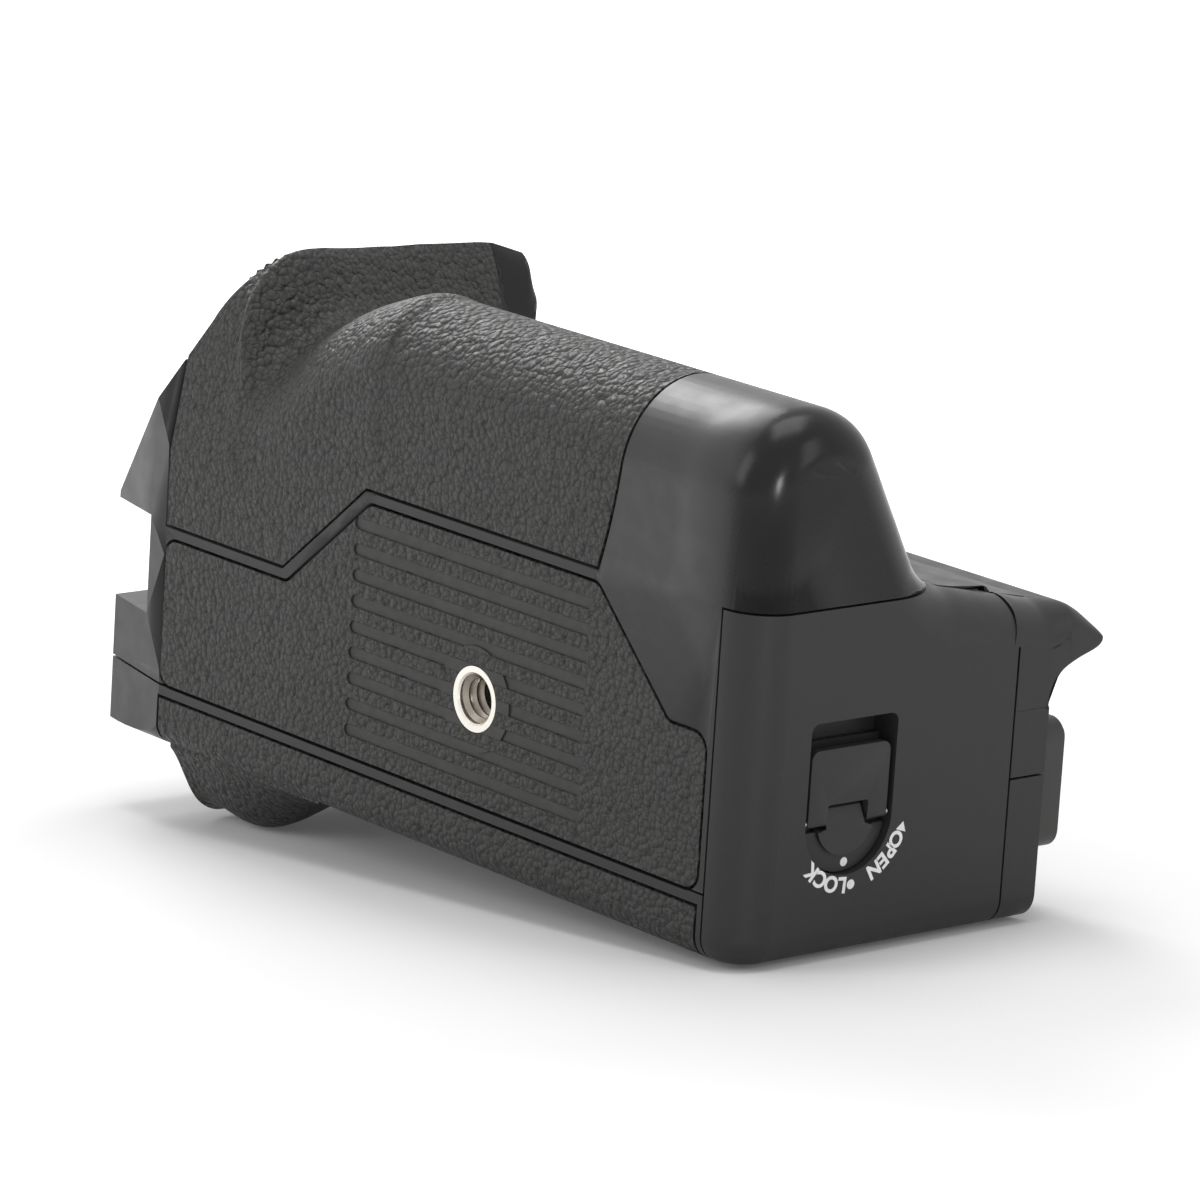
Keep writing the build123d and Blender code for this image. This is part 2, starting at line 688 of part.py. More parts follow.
with BuildPart() as tripod_socket:
    collar_y = chassis_y + chassis_t + fit_gap
    with BuildSketch():
        with BuildLine():
            Polyline((socket_recess_r, 0), (socket_neck_r, 0), (socket_neck_r, collar_y), (socket_body_r, collar_y),
                     (socket_body_r, socket_len), (socket_r, socket_len),
                     (socket_r, socket_recess_r - socket_r), close=True)
        make_face()
    revolve(axis=Axis.Y)

# Battery bay, its contacts and the board above it
with BuildPart() as battery_bay:
    add(block((bay_end_x, bay_low_y, bay_rear_z), (door_x, bay_high_y, bay_front_z)))
    offset(amount=-bay_wall_t, openings=battery_bay.faces().sort_by(Axis.X)[-1])
    add(contact_room, mode=Mode.SUBTRACT)
    add(bolt_room, mode=Mode.SUBTRACT)

with BuildPart() as bay_contacts:
    add(block((bay_end_x - contact_block_out, contact_low_y + fit_gap, tray_rear_z + wall_t + fit_gap),
              (bay_inner_x, battery_high_y - fit_gap, tray_front_z - wall_t - fit_gap)))
    blade_l = battery_low_x - run_gap - bay_inner_x
    blade_row = Plane(origin=(bay_inner_x, contact_low_y + contact_block_h / 2, battery_mid_z),
                      x_dir=(0, 1, 0), z_dir=(1, 0, 0))
    with BuildSketch(blade_row):
        with GridLocations(0, battery_t, 1, 2):
            with GridLocations(0, blade_pitch, 1, blade_count):
                Rectangle(blade_h, blade_w)
    extrude(amount=blade_l)

board_low_y = bay_high_y + 2 * fit_gap
with BuildPart() as main_board:
    add(block((bay_end_x + 2 * wall_t + fit_gap, board_low_y, mating_rear_z + 2 * wall_t + fit_gap),
              (door_x - fit_gap, board_low_y + board_t, mating_front_z - 2 * wall_t - fit_gap)))

# Plate and pad that the camera stands on
terminal_low_y = board_low_y + board_t + fit_gap
terminal_top_y = mate_y + terminal_rise
terminal_foot = block((terminal_x - terminal_l / 2, terminal_low_y, terminal_z - terminal_w / 2),
                      (terminal_x + terminal_l / 2, terminal_top_y, terminal_z + terminal_w / 2))


def top_cutters(extra):
    """Everything that rises through the mating plate, with a margin round the moving screw."""
    with BuildPart() as cutters:
        add(rod(facing_camera(screw_x, screw_z, plate_low_y - overrun), screw_r + run_gap + extra,
                2 * overrun + plate_t))
        for x, z in pin_places:
            add(rod(facing_camera(x, z, plate_low_y - overrun), locating_pin_foot_r + fit_gap / 2 + extra,
                    2 * overrun + plate_t))
        with BuildSketch(facing_camera(terminal_x, terminal_z, plate_low_y - overrun)):
            Rectangle(terminal_l + 2 * fit_gap, terminal_w + 2 * fit_gap)
        extrude(amount=2 * overrun + plate_t)
    return cutters.part


with BuildPart() as mating_plate:
    add(block((mating_left_x, plate_low_y, mating_rear_z), (mating_right_x, plate_high_y, mating_front_z)))
    fillet(mating_plate.edges().filter_by(Axis.Y), mating_corner_r)
    add(block((mating_left_x + pad_border - fit_gap, pad_low_y, mating_rear_z + pad_border - fit_gap),
              (pad_right_x + fit_gap, mate_y, mating_front_z - pad_border + fit_gap)), mode=Mode.SUBTRACT)
    add(top_cutters(0), mode=Mode.SUBTRACT)
    for x, z in case_screw_places:
        add(rod(facing_camera(x, z, plate_low_y), case_screw_shaft_r + fit_gap, plate_t), mode=Mode.SUBTRACT)
        add(rod(facing_camera(x, z, plate_high_y - case_screw_head_t), case_screw_head_r + fit_gap, plate_t),
            mode=Mode.SUBTRACT)

with BuildPart() as camera_pad:
    add(block((mating_left_x + pad_border, pad_low_y, mating_rear_z + pad_border),
              (pad_right_x, mate_y, mating_front_z - pad_border)))
    fillet(camera_pad.edges().filter_by(Axis.Y), mating_corner_r)
    add(top_cutters(run_gap), mode=Mode.SUBTRACT)
    for x, z in case_screw_places:
        add(rod(facing_camera(x, z, pad_low_y), case_screw_head_r + 2 * run_gap, pad_t), mode=Mode.SUBTRACT)

with BuildPart() as case_screws:
    for x, z in case_screw_places:
        add(rod(facing_camera(x, z, plate_high_y), case_screw_head_r, -case_screw_head_t))
        add(rod(facing_camera(x, z, plate_high_y), case_screw_shaft_r, -case_screw_head_t - case_screw_len))

with BuildPart() as locating_pins:
    for x, z in pin_places:
        add(rod(facing_camera(x, z, plate_low_y + fit_gap), locating_pin_foot_r, mate_y - plate_low_y - fit_gap))
        add(rod(facing_camera(x, z, mate_y), locating_pin_r, locating_pin_h))
    chamfer(locating_pins.faces().filter_by(Axis.Y).group_by(Axis.Y)[-1].edges(), locating_pin_r / 4)

# Attachment wheel and its screw
with BuildPart() as attachment_wheel:
    with BuildSketch(facing_camera(screw_x, screw_z, wheel_y)):
        Circle(wheel_r)
        with PolarLocations(wheel_r, wheel_notch_count):
            Rectangle(wheel_notch_w, wheel_notch_w, rotation=45, mode=Mode.SUBTRACT)
        Circle(screw_neck_r + fit_gap / 2, mode=Mode.SUBTRACT)
    extrude(amount=wheel_t)

with BuildPart() as attachment_screw:
    add(rod(facing_camera(screw_x, screw_z, wheel_y + screw_foot), screw_neck_r, mate_y - wheel_y - screw_foot))
    add(rod(facing_camera(screw_x, screw_z, mate_y), screw_r, screw_proud))
    chamfer(attachment_screw.faces().sort_by(Axis.Y)[-1].edges(), screw_tip)
    add(rod(facing_camera(screw_x, screw_z, wheel_y + wheel_t + fit_gap / 2), screw_collar_r, screw_collar_t))

# Terminal block, its contacts and its cap
contact_pitch = (terminal_l - 2 * terminal_wall_t) / contact_count
terminal_row = facing_camera(terminal_x, terminal_z, terminal_low_y)
roof_low_y = terminal_top_y - terminal_roof_t
with BuildPart() as terminal_block:
    add(terminal_foot)
    with BuildSketch(terminal_row):
        Rectangle(terminal_l - 2 * terminal_wall_t, terminal_w - 2 * terminal_wall_t)
    extrude(amount=roof_low_y - terminal_low_y, mode=Mode.SUBTRACT)
    with BuildSketch(terminal_row):
        with GridLocations(contact_pitch, 0, contact_count, 1):
            Rectangle(contact_w + 2 * fit_gap, contact_l + 2 * fit_gap)
    extrude(amount=terminal_top_y - terminal_low_y, mode=Mode.SUBTRACT)

with BuildPart() as terminal_contacts:
    with BuildSketch(terminal_row.offset(fit_gap)):
        Rectangle(terminal_l - 2 * terminal_wall_t - 2 * fit_gap, terminal_w - 2 * terminal_wall_t - 2 * fit_gap)
    extrude(amount=board_t)
    with BuildSketch(terminal_row.offset(board_t)):
        with GridLocations(contact_pitch, 0, contact_count, 1):
            Rectangle(contact_w, contact_l)
    extrude(amount=terminal_top_y - terminal_low_y - board_t - contact_low)

with BuildPart() as terminal_cap:
    with BuildSketch(facing_camera(terminal_x, terminal_z, plate_high_y + fit_gap)):
        RectangleRounded(terminal_cap_l, terminal_cap_w, terminal_cap_r)
    extrude(amount=terminal_top_y + run_gap + terminal_cap_t - plate_high_y - fit_gap)
    chamfer(terminal_cap.faces().sort_by(Axis.Y)[-1].edges(), terminal_cap_r / 3)
    with BuildSketch(facing_camera(terminal_x, terminal_z, plate_high_y)):
        Rectangle(terminal_l + 2 * run_gap, terminal_w + 2 * run_gap)
    extrude(amount=terminal_top_y + run_gap - plate_high_y, mode=Mode.SUBTRACT)

# Battery tray with its cover, seal and two batteries
bulkhead_in_x = bulkhead_out_x - tray_wall_t
with BuildPart() as tray_frame:
    add(block((tray_low_x, tray_low_y, tray_rear_z), (bulkhead_out_x, tray_low_y + tray_floor_t, tray_front_z)))
    add(block((tray_low_x, tray_low_y, tray_rear_z), (tray_low_x + tray_wall_t, tray_low_y + tray_wall_h, tray_front_z)))
    add(block((bulkhead_in_x, tray_low_y, tray_rear_z), (bulkhead_out_x, battery_high_y, tray_front_z)))
    sweep_r = latch_y - bolt_tip_y + bolt_sweep_gap
    add(block((bulkhead_out_x, tray_low_y + seal_w, latch_z + sweep_r),
              (door_in_x - fit_gap, battery_high_y - seal_w, tray_front_z)))
    add(block((bulkhead_out_x, latch_y + sweep_r, tray_rear_z),
              (door_in_x - fit_gap, battery_high_y - seal_w, tray_front_z)))

seal_high_y = rim_y - seam_gap - fit_gap
with BuildPart() as door_seal:
    add(block((door_in_x - fit_gap, bay_low_y, bay_rear_z), (door_in_x - fit_gap + seal_t, seal_high_y, bay_front_z)))
    fillet(door_seal.edges().filter_by(Axis.X), battery_corner_r)
    add(block((bay_inner_x, bay_low_y + seal_w, bay_rear_z + seal_w),
              (end_x, seal_high_y - seal_w, bay_front_z - seal_w)), mode=Mode.SUBTRACT)


def latch_opening(radius, top, corner_r, depth):
    """Recess of the key latch, round below and square above."""
    with BuildPart() as opening:
        with BuildSketch(latch_axis) as outline:
            Circle(radius)
            with Locations((0, top / 2)):
                Rectangle(2 * radius, top)
            fillet(outline.vertices().group_by(Axis.Z)[-1], corner_r)
        extrude(amount=-depth)
    return opening.part


with BuildPart() as tray_cover:
    add(casing.part)
    add(block((door_in_x, -overrun, rear_z - overrun),
              (end_x + overrun, rim_y - seam_gap, door_top_z - seam_gap)), mode=Mode.INTERSECT)
    add(latch_opening(latch_recess_r, latch_recess_top_z - latch_z, latch_corner_r, latch_recess_depth),
        mode=Mode.SUBTRACT)
    add(block((recess_floor_x - latch_scoop_depth, latch_y - latch_recess_r, latch_scoop_z),
              (end_x, latch_y + latch_recess_r, latch_recess_top_z - latch_corner_r)), mode=Mode.SUBTRACT)
    add(rod(latch_axis, latch_shaft_r + fit_gap, door_in_x - end_x), mode=Mode.SUBTRACT)
    add(block((door_in_x - overrun, bay_low_y - fit_gap, bay_rear_z - fit_gap),
              (door_in_x - fit_gap + seal_t + fit_gap, seal_high_y + fit_gap, bay_front_z + fit_gap))
        - block((door_in_x - overrun, bay_low_y + seal_w + fit_gap, bay_rear_z + seal_w + fit_gap),
                (end_x, seal_high_y - seal_w - fit_gap, bay_front_z - seal_w - fit_gap)), mode=Mode.SUBTRACT)


def battery(z_low):
    """One battery, standing in the tray with its long edges rounded."""
    with BuildPart() as cell:
        add(block((battery_low_x, battery_low_y, z_low), (battery_high_x, battery_high_y, z_low + battery_t)))
        fillet(cell.edges().filter_by(Axis.X), battery_corner_r)
    return cell.part


with BuildPart() as battery_rear:
    add(battery(tray_rear_z))

with BuildPart() as battery_front:
    add(battery(tray_front_z - battery_t))

# Key latch: disk with its shaft, bolt behind the cover and the folding key
with BuildPart() as latch_disk:
    add(rod(Plane(origin=(disk_low_x, latch_y, latch_z), z_dir=(1, 0, 0)), disk_r, disk_t))
    add(rod(Plane(origin=(bolt_x, latch_y, latch_z), z_dir=(1, 0, 0)), latch_shaft_r, disk_low_x - bolt_x))
    for ear_y in (latch_y - ear_out, latch_y + ear_in):
        add(block((disk_high_x, ear_y, latch_z - knuckle_r), (hinge_x, ear_y + key_ear_w, latch_z + knuckle_r)))
        add(rod(Plane(origin=(hinge_x, ear_y, latch_z), z_dir=(0, 1, 0)), knuckle_r, key_ear_w))
    add(rod(Plane(origin=(hinge_x, latch_y - ear_out, latch_z), z_dir=(0, 1, 0)), key_pin_r + fit_gap / 2,
            2 * ear_out), mode=Mode.SUBTRACT)

with BuildPart() as latch_bolt:
    with BuildSketch(Plane(origin=(bolt_x, latch_y, latch_z), x_dir=(0, 1, 0), z_dir=(1, 0, 0))):
        Circle(bolt_hub_r)
        with Locations(((bolt_tip_y - latch_y) / 2, 0)):
            Rectangle(latch_y - bolt_tip_y, bolt_w)
        Circle(latch_shaft_r + fit_gap / 2, mode=Mode.SUBTRACT)
    extrude(amount=bolt_t)

key_foot_z = latch_z + knuckle_r + run_gap
with BuildPart() as latch_key:
    with BuildSketch(Plane(origin=(key_high_x, latch_y, 0), x_dir=(0, 1, 0), z_dir=(1, 0, 0))) as key_face:
        with Locations((0, (key_foot_z + key_top_z) / 2)):
            Rectangle(key_w, key_top_z - key_foot_z)
        fillet(key_face.vertices().group_by(Axis.Z)[-1], latch_corner_r)
        with Locations((0, key_foot_z)):
            Rectangle(key_notch_w, 2 * key_notch_h, mode=Mode.SUBTRACT)
    extrude(amount=-key_t)
    for knuckle_y in (latch_y - knuckle_out, latch_y + key_notch_w / 2):
        knuckle_l = knuckle_out - key_notch_w / 2
        add(block((key_high_x - key_t, knuckle_y, latch_z), (key_high_x, knuckle_y + knuckle_l, key_foot_z)))
        add(rod(Plane(origin=(hinge_x, knuckle_y, latch_z), z_dir=(0, 1, 0)), knuckle_r, knuckle_l))
    add(rod(Plane(origin=(hinge_x, latch_y - knuckle_out, latch_z), z_dir=(0, 1, 0)), key_pin_r + fit_gap / 2,
            2 * knuckle_out), mode=Mode.SUBTRACT)

with BuildPart() as key_pins:
    for pin_y in (latch_y - ear_out, latch_y + key_notch_w / 2):
        add(rod(Plane(origin=(hinge_x, pin_y, latch_z), z_dir=(0, 1, 0)), key_pin_r, ear_out - key_notch_w / 2))

# Strap bar
with BuildPart() as strap_bar:
    add(block(bar_low, bar_high))
    fillet(strap_bar.edges().filter_by(Axis.Z), strap_bar_edge_r)


# Controls on the shutter slope
def push_button(face, radius, cap_h, wall, stem_end):
    """Round button through a wall, with a flange and a stem behind it, on the wall's outer plane."""
    inner = wall + fit_gap
    with BuildPart() as button:
        add(rod(face.offset(-inner), radius, inner + cap_h))
        add(rod(face.offset(-inner - button_flange_t), radius + button_flange_w, button_flange_t))
        add(rod(face.offset(-stem_end), button_stem_r, stem_end - inner))
    return button.part


with BuildPart() as shutter_button:
    add(push_button(on_slope(shutter_s, shutter_y), shutter_r, shutter_h, slope_room_top,
                    slope_switch_depth - shutter_travel - switch_gap))

with BuildPart() as fn_button:
    add(push_button(on_slope(fn_s, fn_y), fn_r, fn_h, slope_room_top,
                    slope_switch_depth - button_travel - switch_gap))

with BuildPart() as lock_ring:
    with BuildSketch(on_slope(shutter_s, shutter_y, fit_gap)):
        Circle(ring_outer_r)
        with Locations((-(ring_outer_r + lever_l) / 2, 0)):
            Rectangle(ring_outer_r + lever_l, lever_w)
        Circle(ring_inner_r, mode=Mode.SUBTRACT)
    extrude(amount=ring_t)

with BuildPart() as front_dial:
    with BuildSketch(on_slope(front_dial_s, front_dial_y, fit_gap)):
        Circle(front_dial_r)
        with PolarLocations(front_dial_r, dial_ridge_count):
            Rectangle(dial_notch_w, dial_notch_w, rotation=45, mode=Mode.SUBTRACT)
    extrude(amount=front_dial_h)
    add(rod(on_slope(front_dial_s, front_dial_y, fit_gap), front_dial_axle_r, -front_dial_axle_l + fit_gap))

with BuildPart() as slope_board:
    with BuildSketch(slope.offset(-slope_board_h - fit_gap)):
        with Locations(((slope_room_low_s + slope_room_high_s) / 2, (slope_room_low_y + slope_room_high_y) / 2)):
            Rectangle(slope_room_high_s - slope_room_low_s - 2 * fit_gap,
                      slope_room_high_y - slope_room_low_y - 2 * fit_gap)
    extrude(amount=-board_t)

with BuildPart() as button_switches:
    with BuildSketch(slope.offset(-slope_board_h)):
        with Locations(slope_places):
            Rectangle(switch_side, switch_side)
    extrude(amount=switch_h)
    with BuildSketch(on_rear(0, 0, rear_z - board_z + fit_gap)):
        with Locations([(x, -y) for x, y in rear_places]):
            Rectangle(switch_side, switch_side)
    extrude(amount=switch_h)

# Controls on the rear face
rear_stem_end = rear_switch_depth - button_travel - switch_gap
with BuildPart() as af_on_button:
    add(push_button(on_rear(af_on_x, af_on_y), af_on_r, button_h, rear_wall_t, rear_stem_end))

with BuildPart() as ae_lock_button:
    add(push_button(on_rear(ae_lock_x, ae_lock_y), ae_lock_r, button_h, rear_wall_t, rear_stem_end))

with BuildPart() as q_button:
    add(push_button(on_rear(q_x, q_y), q_r, button_h, rear_wall_t, rear_stem_end))

with BuildPart() as control_board:
    add(block((rear_room_left_x + fit_gap, rear_room_low_y + fit_gap, board_z),
              (rear_room_right_x - fit_gap, rear_room_high_y - fit_gap, board_z + board_t)))
    add(block((rear_room_left_x, dial_low_y - 2 * run_gap, board_z),
              (rear_dial_x + rear_dial_r + 2 * run_gap, dial_low_y + rear_dial_t + 2 * run_gap, board_z + board_t)),
        mode=Mode.SUBTRACT)

with BuildPart() as rear_dial:
    with BuildSketch(facing_camera(rear_dial_x, rear_dial_z, dial_low_y)):
        Circle(rear_dial_r)
        with PolarLocations(rear_dial_r, dial_ridge_count):
            Rectangle(dial_notch_w, dial_notch_w, rotation=45, mode=Mode.SUBTRACT)
        Circle(rear_dial_axle_r + fit_gap / 2, mode=Mode.SUBTRACT)
    extrude(amount=rear_dial_t)

with BuildPart() as rear_dial_axle:
    add(rod(rear_dial_axis, rear_dial_axle_r, rear_dial_axle_l))

with BuildPart() as stick_base:
    add(rod(on_rear(stick_x, stick_y), stick_base_r, rear_z - board_z + fit_gap))
    add(rod(on_rear(stick_x, stick_y), stick_base_r - stick_base_wall_t,
            rear_z - board_z + fit_gap + stick_base_wall_t), mode=Mode.SUBTRACT)
    add(rod(Plane(origin=(stick_x - stick_base_r, stick_y, stick_pivot_z), z_dir=(1, 0, 0)),
            stick_trunnion_r + fit_gap / 2, 2 * stick_base_r), mode=Mode.SUBTRACT)

with BuildPart() as stick_gimbal:
    add(rod(on_rear(stick_x, stick_y, stick_gimbal_t / 2 - stick_pivot_in), stick_gimbal_r, -stick_gimbal_t))
    add(rod(Plane(origin=(stick_x - stick_base_r + fit_gap, stick_y, stick_pivot_z), z_dir=(1, 0, 0)),
            stick_trunnion_r, 2 * stick_base_r - 2 * fit_gap))
    add(rod(on_rear(stick_x, stick_y), stick_gimbal_in_r, -stick_pivot_in - stick_gimbal_t), mode=Mode.SUBTRACT)
    add(rod(Plane(origin=(stick_x, stick_y - stick_base_r, stick_pivot_z), z_dir=(0, 1, 0)),
            stick_trunnion_r + fit_gap / 2, 2 * stick_base_r), mode=Mode.SUBTRACT)

with BuildPart() as focus_stick:
    with Locations((stick_x, stick_y, stick_pivot_z)):
        Sphere(stick_ball_r)
    add(rod(on_rear(stick_x, stick_y, -stick_pivot_in), stick_neck_r, stick_pivot_in + stick_cap_gap))
    add(rod(on_rear(stick_x, stick_y, stick_cap_gap), stick_cap_r, stick_cap_h))
    trunnion_l = (stick_gimbal_r + stick_gimbal_in_r) / 2
    add(rod(Plane(origin=(stick_x, stick_y - trunnion_l, stick_pivot_z), z_dir=(0, 1, 0)), stick_trunnion_r,
            2 * trunnion_l))

pieces = {
    "front_shell": front_shell, "rear_shell": rear_shell, "front_rubber": front_rubber, "rear_rubber": rear_rubber,
    "bottom_rubber": bottom_rubber, "chassis_plate": chassis_plate, "tripod_socket": tripod_socket,
    "battery_bay": battery_bay, "bay_contacts": bay_contacts, "main_board": main_board,
    "mating_plate": mating_plate, "camera_pad": camera_pad, "case_screws": case_screws,
    "locating_pins": locating_pins, "attachment_wheel": attachment_wheel, "attachment_screw": attachment_screw,
    "terminal_block": terminal_block, "terminal_contacts": terminal_contacts, "terminal_cap": terminal_cap,
    "tray_frame": tray_frame, "door_seal": door_seal, "tray_cover": tray_cover, "battery_rear": battery_rear,
    "battery_front": battery_front, "latch_disk": latch_disk, "latch_bolt": latch_bolt, "latch_key": latch_key,
    "key_pins": key_pins, "strap_bar": strap_bar, "shutter_button": shutter_button, "fn_button": fn_button,
    "lock_ring": lock_ring, "front_dial": front_dial, "slope_board": slope_board,
    "button_switches": button_switches, "af_on_button": af_on_button, "ae_lock_button": ae_lock_button,
    "q_button": q_button, "control_board": control_board, "rear_dial": rear_dial,
    "rear_dial_axle": rear_dial_axle, "stick_base": stick_base, "stick_gimbal": stick_gimbal,
    "focus_stick": focus_stick,
}

os.makedirs("parts", exist_ok=True)
for name, piece in pieces.items():
    piece.part.label = name
    export_step(piece.part, f"parts/{name}.step")
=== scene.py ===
import math

import bmesh
import bpy
from mathutils import Matrix, Vector


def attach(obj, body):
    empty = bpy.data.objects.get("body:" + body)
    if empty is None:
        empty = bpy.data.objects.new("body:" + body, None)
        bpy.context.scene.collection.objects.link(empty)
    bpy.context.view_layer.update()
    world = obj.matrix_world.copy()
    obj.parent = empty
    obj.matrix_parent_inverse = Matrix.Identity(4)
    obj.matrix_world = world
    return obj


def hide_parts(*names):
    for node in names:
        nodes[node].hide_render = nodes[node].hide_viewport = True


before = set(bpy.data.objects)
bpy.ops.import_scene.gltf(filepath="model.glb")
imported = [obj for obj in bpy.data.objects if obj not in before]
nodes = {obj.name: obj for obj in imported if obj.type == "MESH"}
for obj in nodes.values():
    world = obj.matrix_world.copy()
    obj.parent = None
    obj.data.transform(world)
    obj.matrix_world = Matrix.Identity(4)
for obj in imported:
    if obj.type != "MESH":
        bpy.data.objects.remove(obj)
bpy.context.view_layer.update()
MM = 0.001


# Materials
def new_material(name, colour, roughness, metallic=0.0, specular=0.5):
    """Principled material with its constants on the shader's own sockets."""
    material = bpy.data.materials.new(name)
    material.use_nodes = True
    shader = material.node_tree.nodes["Principled BSDF"]
    shader.inputs["Base Color"].default_value = (*colour, 1)
    shader.inputs["Roughness"].default_value = roughness
    shader.inputs["Metallic"].default_value = metallic
    shader.inputs["Specular IOR Level"].default_value = specular
    material.diffuse_color = (*colour, 1)
    return material, shader


class Graph:
    """Short ways to add and join the nodes of a material or of the world."""

    def __init__(self, tree, shader=None):
        self.tree = tree
        self.shader = shader
        if shader:
            self.place = self.object_place()

    def add(self, kind, **settings):
        node = self.tree.nodes.new(kind)
        for key, value in settings.items():
            setattr(node, key, value)
        return node

    def link(self, source, target):
        self.tree.links.new(source, target)

    def object_place(self):
        return self.add("ShaderNodeTexCoord").outputs["Object"]

    def axes(self):
        """Object place taken apart into its X, Y and Z."""
        split = self.add("ShaderNodeSeparateXYZ")
        self.link(self.place, split.inputs[0])
        return split.outputs

    def noise(self, scale, detail=2, output="Fac"):
        node = self.add("ShaderNodeTexNoise")
        node.inputs["Scale"].default_value = scale
        node.inputs["Detail"].default_value = detail
        self.link(self.place, node.inputs["Vector"])
        return node.outputs[output]

    def voronoi(self, scale, feature="F1", place=None):
        node = self.add("ShaderNodeTexVoronoi", feature=feature)
        node.inputs["Scale"].default_value = scale
        self.link(place or self.place, node.inputs["Vector"])
        return node

    def math(self, operation, a, b=0.0):
        node = self.add("ShaderNodeMath", operation=operation)
        for socket, value in zip(node.inputs, (a, b)):
            if isinstance(value, (int, float)):
                socket.default_value = value
            else:
                self.link(value, socket)
        return node.outputs[0]

    def product(self, first, *others):
        for other in others:
            first = self.math("MULTIPLY", first, other)
        return first

    def inverse(self, value):
        return self.math("SUBTRACT", 1.0, value)

    def ramp(self, value, low, high, out_low=0.0, out_high=1.0, kind="SMOOTHSTEP"):
        node = self.add("ShaderNodeMapRange", interpolation_type=kind)
        self.link(value, node.inputs["Value"])
        ends = {"From Min": low, "From Max": high, "To Min": out_low, "To Max": out_high}
        for name, number in ends.items():
            node.inputs[name].default_value = number
        return node.outputs["Result"]

    def seen(self):
        """1 for camera, glossy and transmission rays, 0 for the rays that light the object."""
        rays = self.add("ShaderNodeLightPath").outputs
        direct = self.math("MAXIMUM", rays["Is Camera Ray"], rays["Is Glossy Ray"])
        return self.math("MAXIMUM", direct, rays["Is Transmission Ray"])

    def colours(self, value, dark, light):
        node = self.add("ShaderNodeMix", data_type="RGBA")
        self.link(value, node.inputs["Factor"])
        node.inputs["A"].default_value = (*dark, 1)
        node.inputs["B"].default_value = (*light, 1)
        self.link(node.outputs["Result"], self.shader.inputs["Base Color"])

    def bump(self, height, strength, distance):
        node = self.add("ShaderNodeBump")
        node.inputs["Strength"].default_value = strength
        node.inputs["Distance"].default_value = distance
        self.link(height, node.inputs["Height"])
        self.link(node.outputs["Normal"], self.shader.inputs["Normal"])

    def roughness(self, value):
        self.link(value, self.shader.inputs["Roughness"])


# Pebbles of the rubber: scales of the textures per metre, lengths in metres
WARP_SCALE, WARP_REACH = 520, 0.0014
PEBBLE_SCALE, PEBBLE_BLEND, PEBBLE_FALL, PEBBLE_HEIGHT = 1120, 0.28, 1.35, 0.00034
FINE_SCALE, FINE_SHARE = 3600, 0.14
CRACK_SCALE, CRACK_WANDER, CRACK_LOW, CRACK_HIGH = 700, 0.10, 0.04, 0.17
# Share of the colour left in the cracks between the pebbles: painted shade
CRACK_PAINTED_SHADE = 0.26

# Smooth stripes across the base: place of the first, spacing, width, ends and how many spacings they fill
STRIPE_Z, STRIPE_PITCH, STRIPE_W = 17.3 * MM, 3.42 * MM, 1.6 * MM
STRIPE_LEFT_X, STRIPE_RIGHT_X = -26.0 * MM, 21.5 * MM
STRIPE_SPACINGS, STRIPE_BLEND = 8.5, 0.0001


def outside_stripes(g):
    """1 on the pebbles of the base, 0 in its smooth stripes."""
    x, _, z = g.axes()
    spacings = g.math("DIVIDE", g.math("SUBTRACT", z, STRIPE_Z), STRIPE_PITCH)
    beat = g.math("FRACT", g.math("ADD", spacings, 0.5))
    off = g.product(g.math("ABSOLUTE", g.math("SUBTRACT", beat, 0.5)), STRIPE_PITCH)
    pebbled = g.ramp(off, STRIPE_W / 2 - STRIPE_BLEND, STRIPE_W / 2 + STRIPE_BLEND)
    inside = g.product(g.math("GREATER_THAN", x, STRIPE_LEFT_X), g.math("LESS_THAN", x, STRIPE_RIGHT_X),
                       g.math("LESS_THAN", z, STRIPE_Z + STRIPE_PITCH / 2),
                       g.math("GREATER_THAN", z, STRIPE_Z - STRIPE_SPACINGS * STRIPE_PITCH))
    return g.math("MAXIMUM", pebbled, g.inverse(inside))


def pebbled_rubber(name, colour, striped=False):
    """Rubber with the grip's irregular pebbles, smooth in the stripes that the base has, with painted shade
    darkening the cracks between the pebbles.
    """
    material, shader = new_material(name, colour, 0.55, specular=0.30)
    g = Graph(material.node_tree, shader)
    shift = g.add("ShaderNodeVectorMath", operation="MULTIPLY_ADD")
    g.link(g.noise(WARP_SCALE, output="Color"), shift.inputs[0])
    shift.inputs[1].default_value = (WARP_REACH, WARP_REACH, WARP_REACH)
    g.link(g.place, shift.inputs[2])
    place = shift.outputs["Vector"]
    cells = g.voronoi(PEBBLE_SCALE, "SMOOTH_F1", place)
    cells.inputs["Smoothness"].default_value = PEBBLE_BLEND
    edges = g.voronoi(PEBBLE_SCALE, "DISTANCE_TO_EDGE", place).outputs["Distance"]
    dome = g.inverse(g.math("POWER", g.product(cells.outputs["Distance"], PEBBLE_FALL), 2.0))
    height = g.math("ADD", g.product(dome, 1 - FINE_SHARE), g.product(g.noise(FINE_SCALE), FINE_SHARE))
    # Painted shade: the cracks between the pebbles are darkened, and the tone also varies at random
    wander = g.product(g.noise(CRACK_SCALE), CRACK_WANDER)
    painted_crack_shade = g.ramp(g.math("ADD", edges, wander), CRACK_LOW, CRACK_HIGH)
    if striped:
        pebbled = outside_stripes(g)
        height = g.product(height, pebbled)
        painted_crack_shade = g.math("MAXIMUM", painted_crack_shade, g.inverse(pebbled))
    tone_and_painted_shade = g.product(painted_crack_shade, g.ramp(g.noise(60, 3), 0.3, 0.7, 0.86, 1.0))
    g.colours(tone_and_painted_shade, [c * CRACK_PAINTED_SHADE for c in colour], colour)
    g.bump(height, 1.0, PEBBLE_HEIGHT)
    g.roughness(g.ramp(g.noise(900), 0.3, 0.7, 0.46, 0.60))
    return material


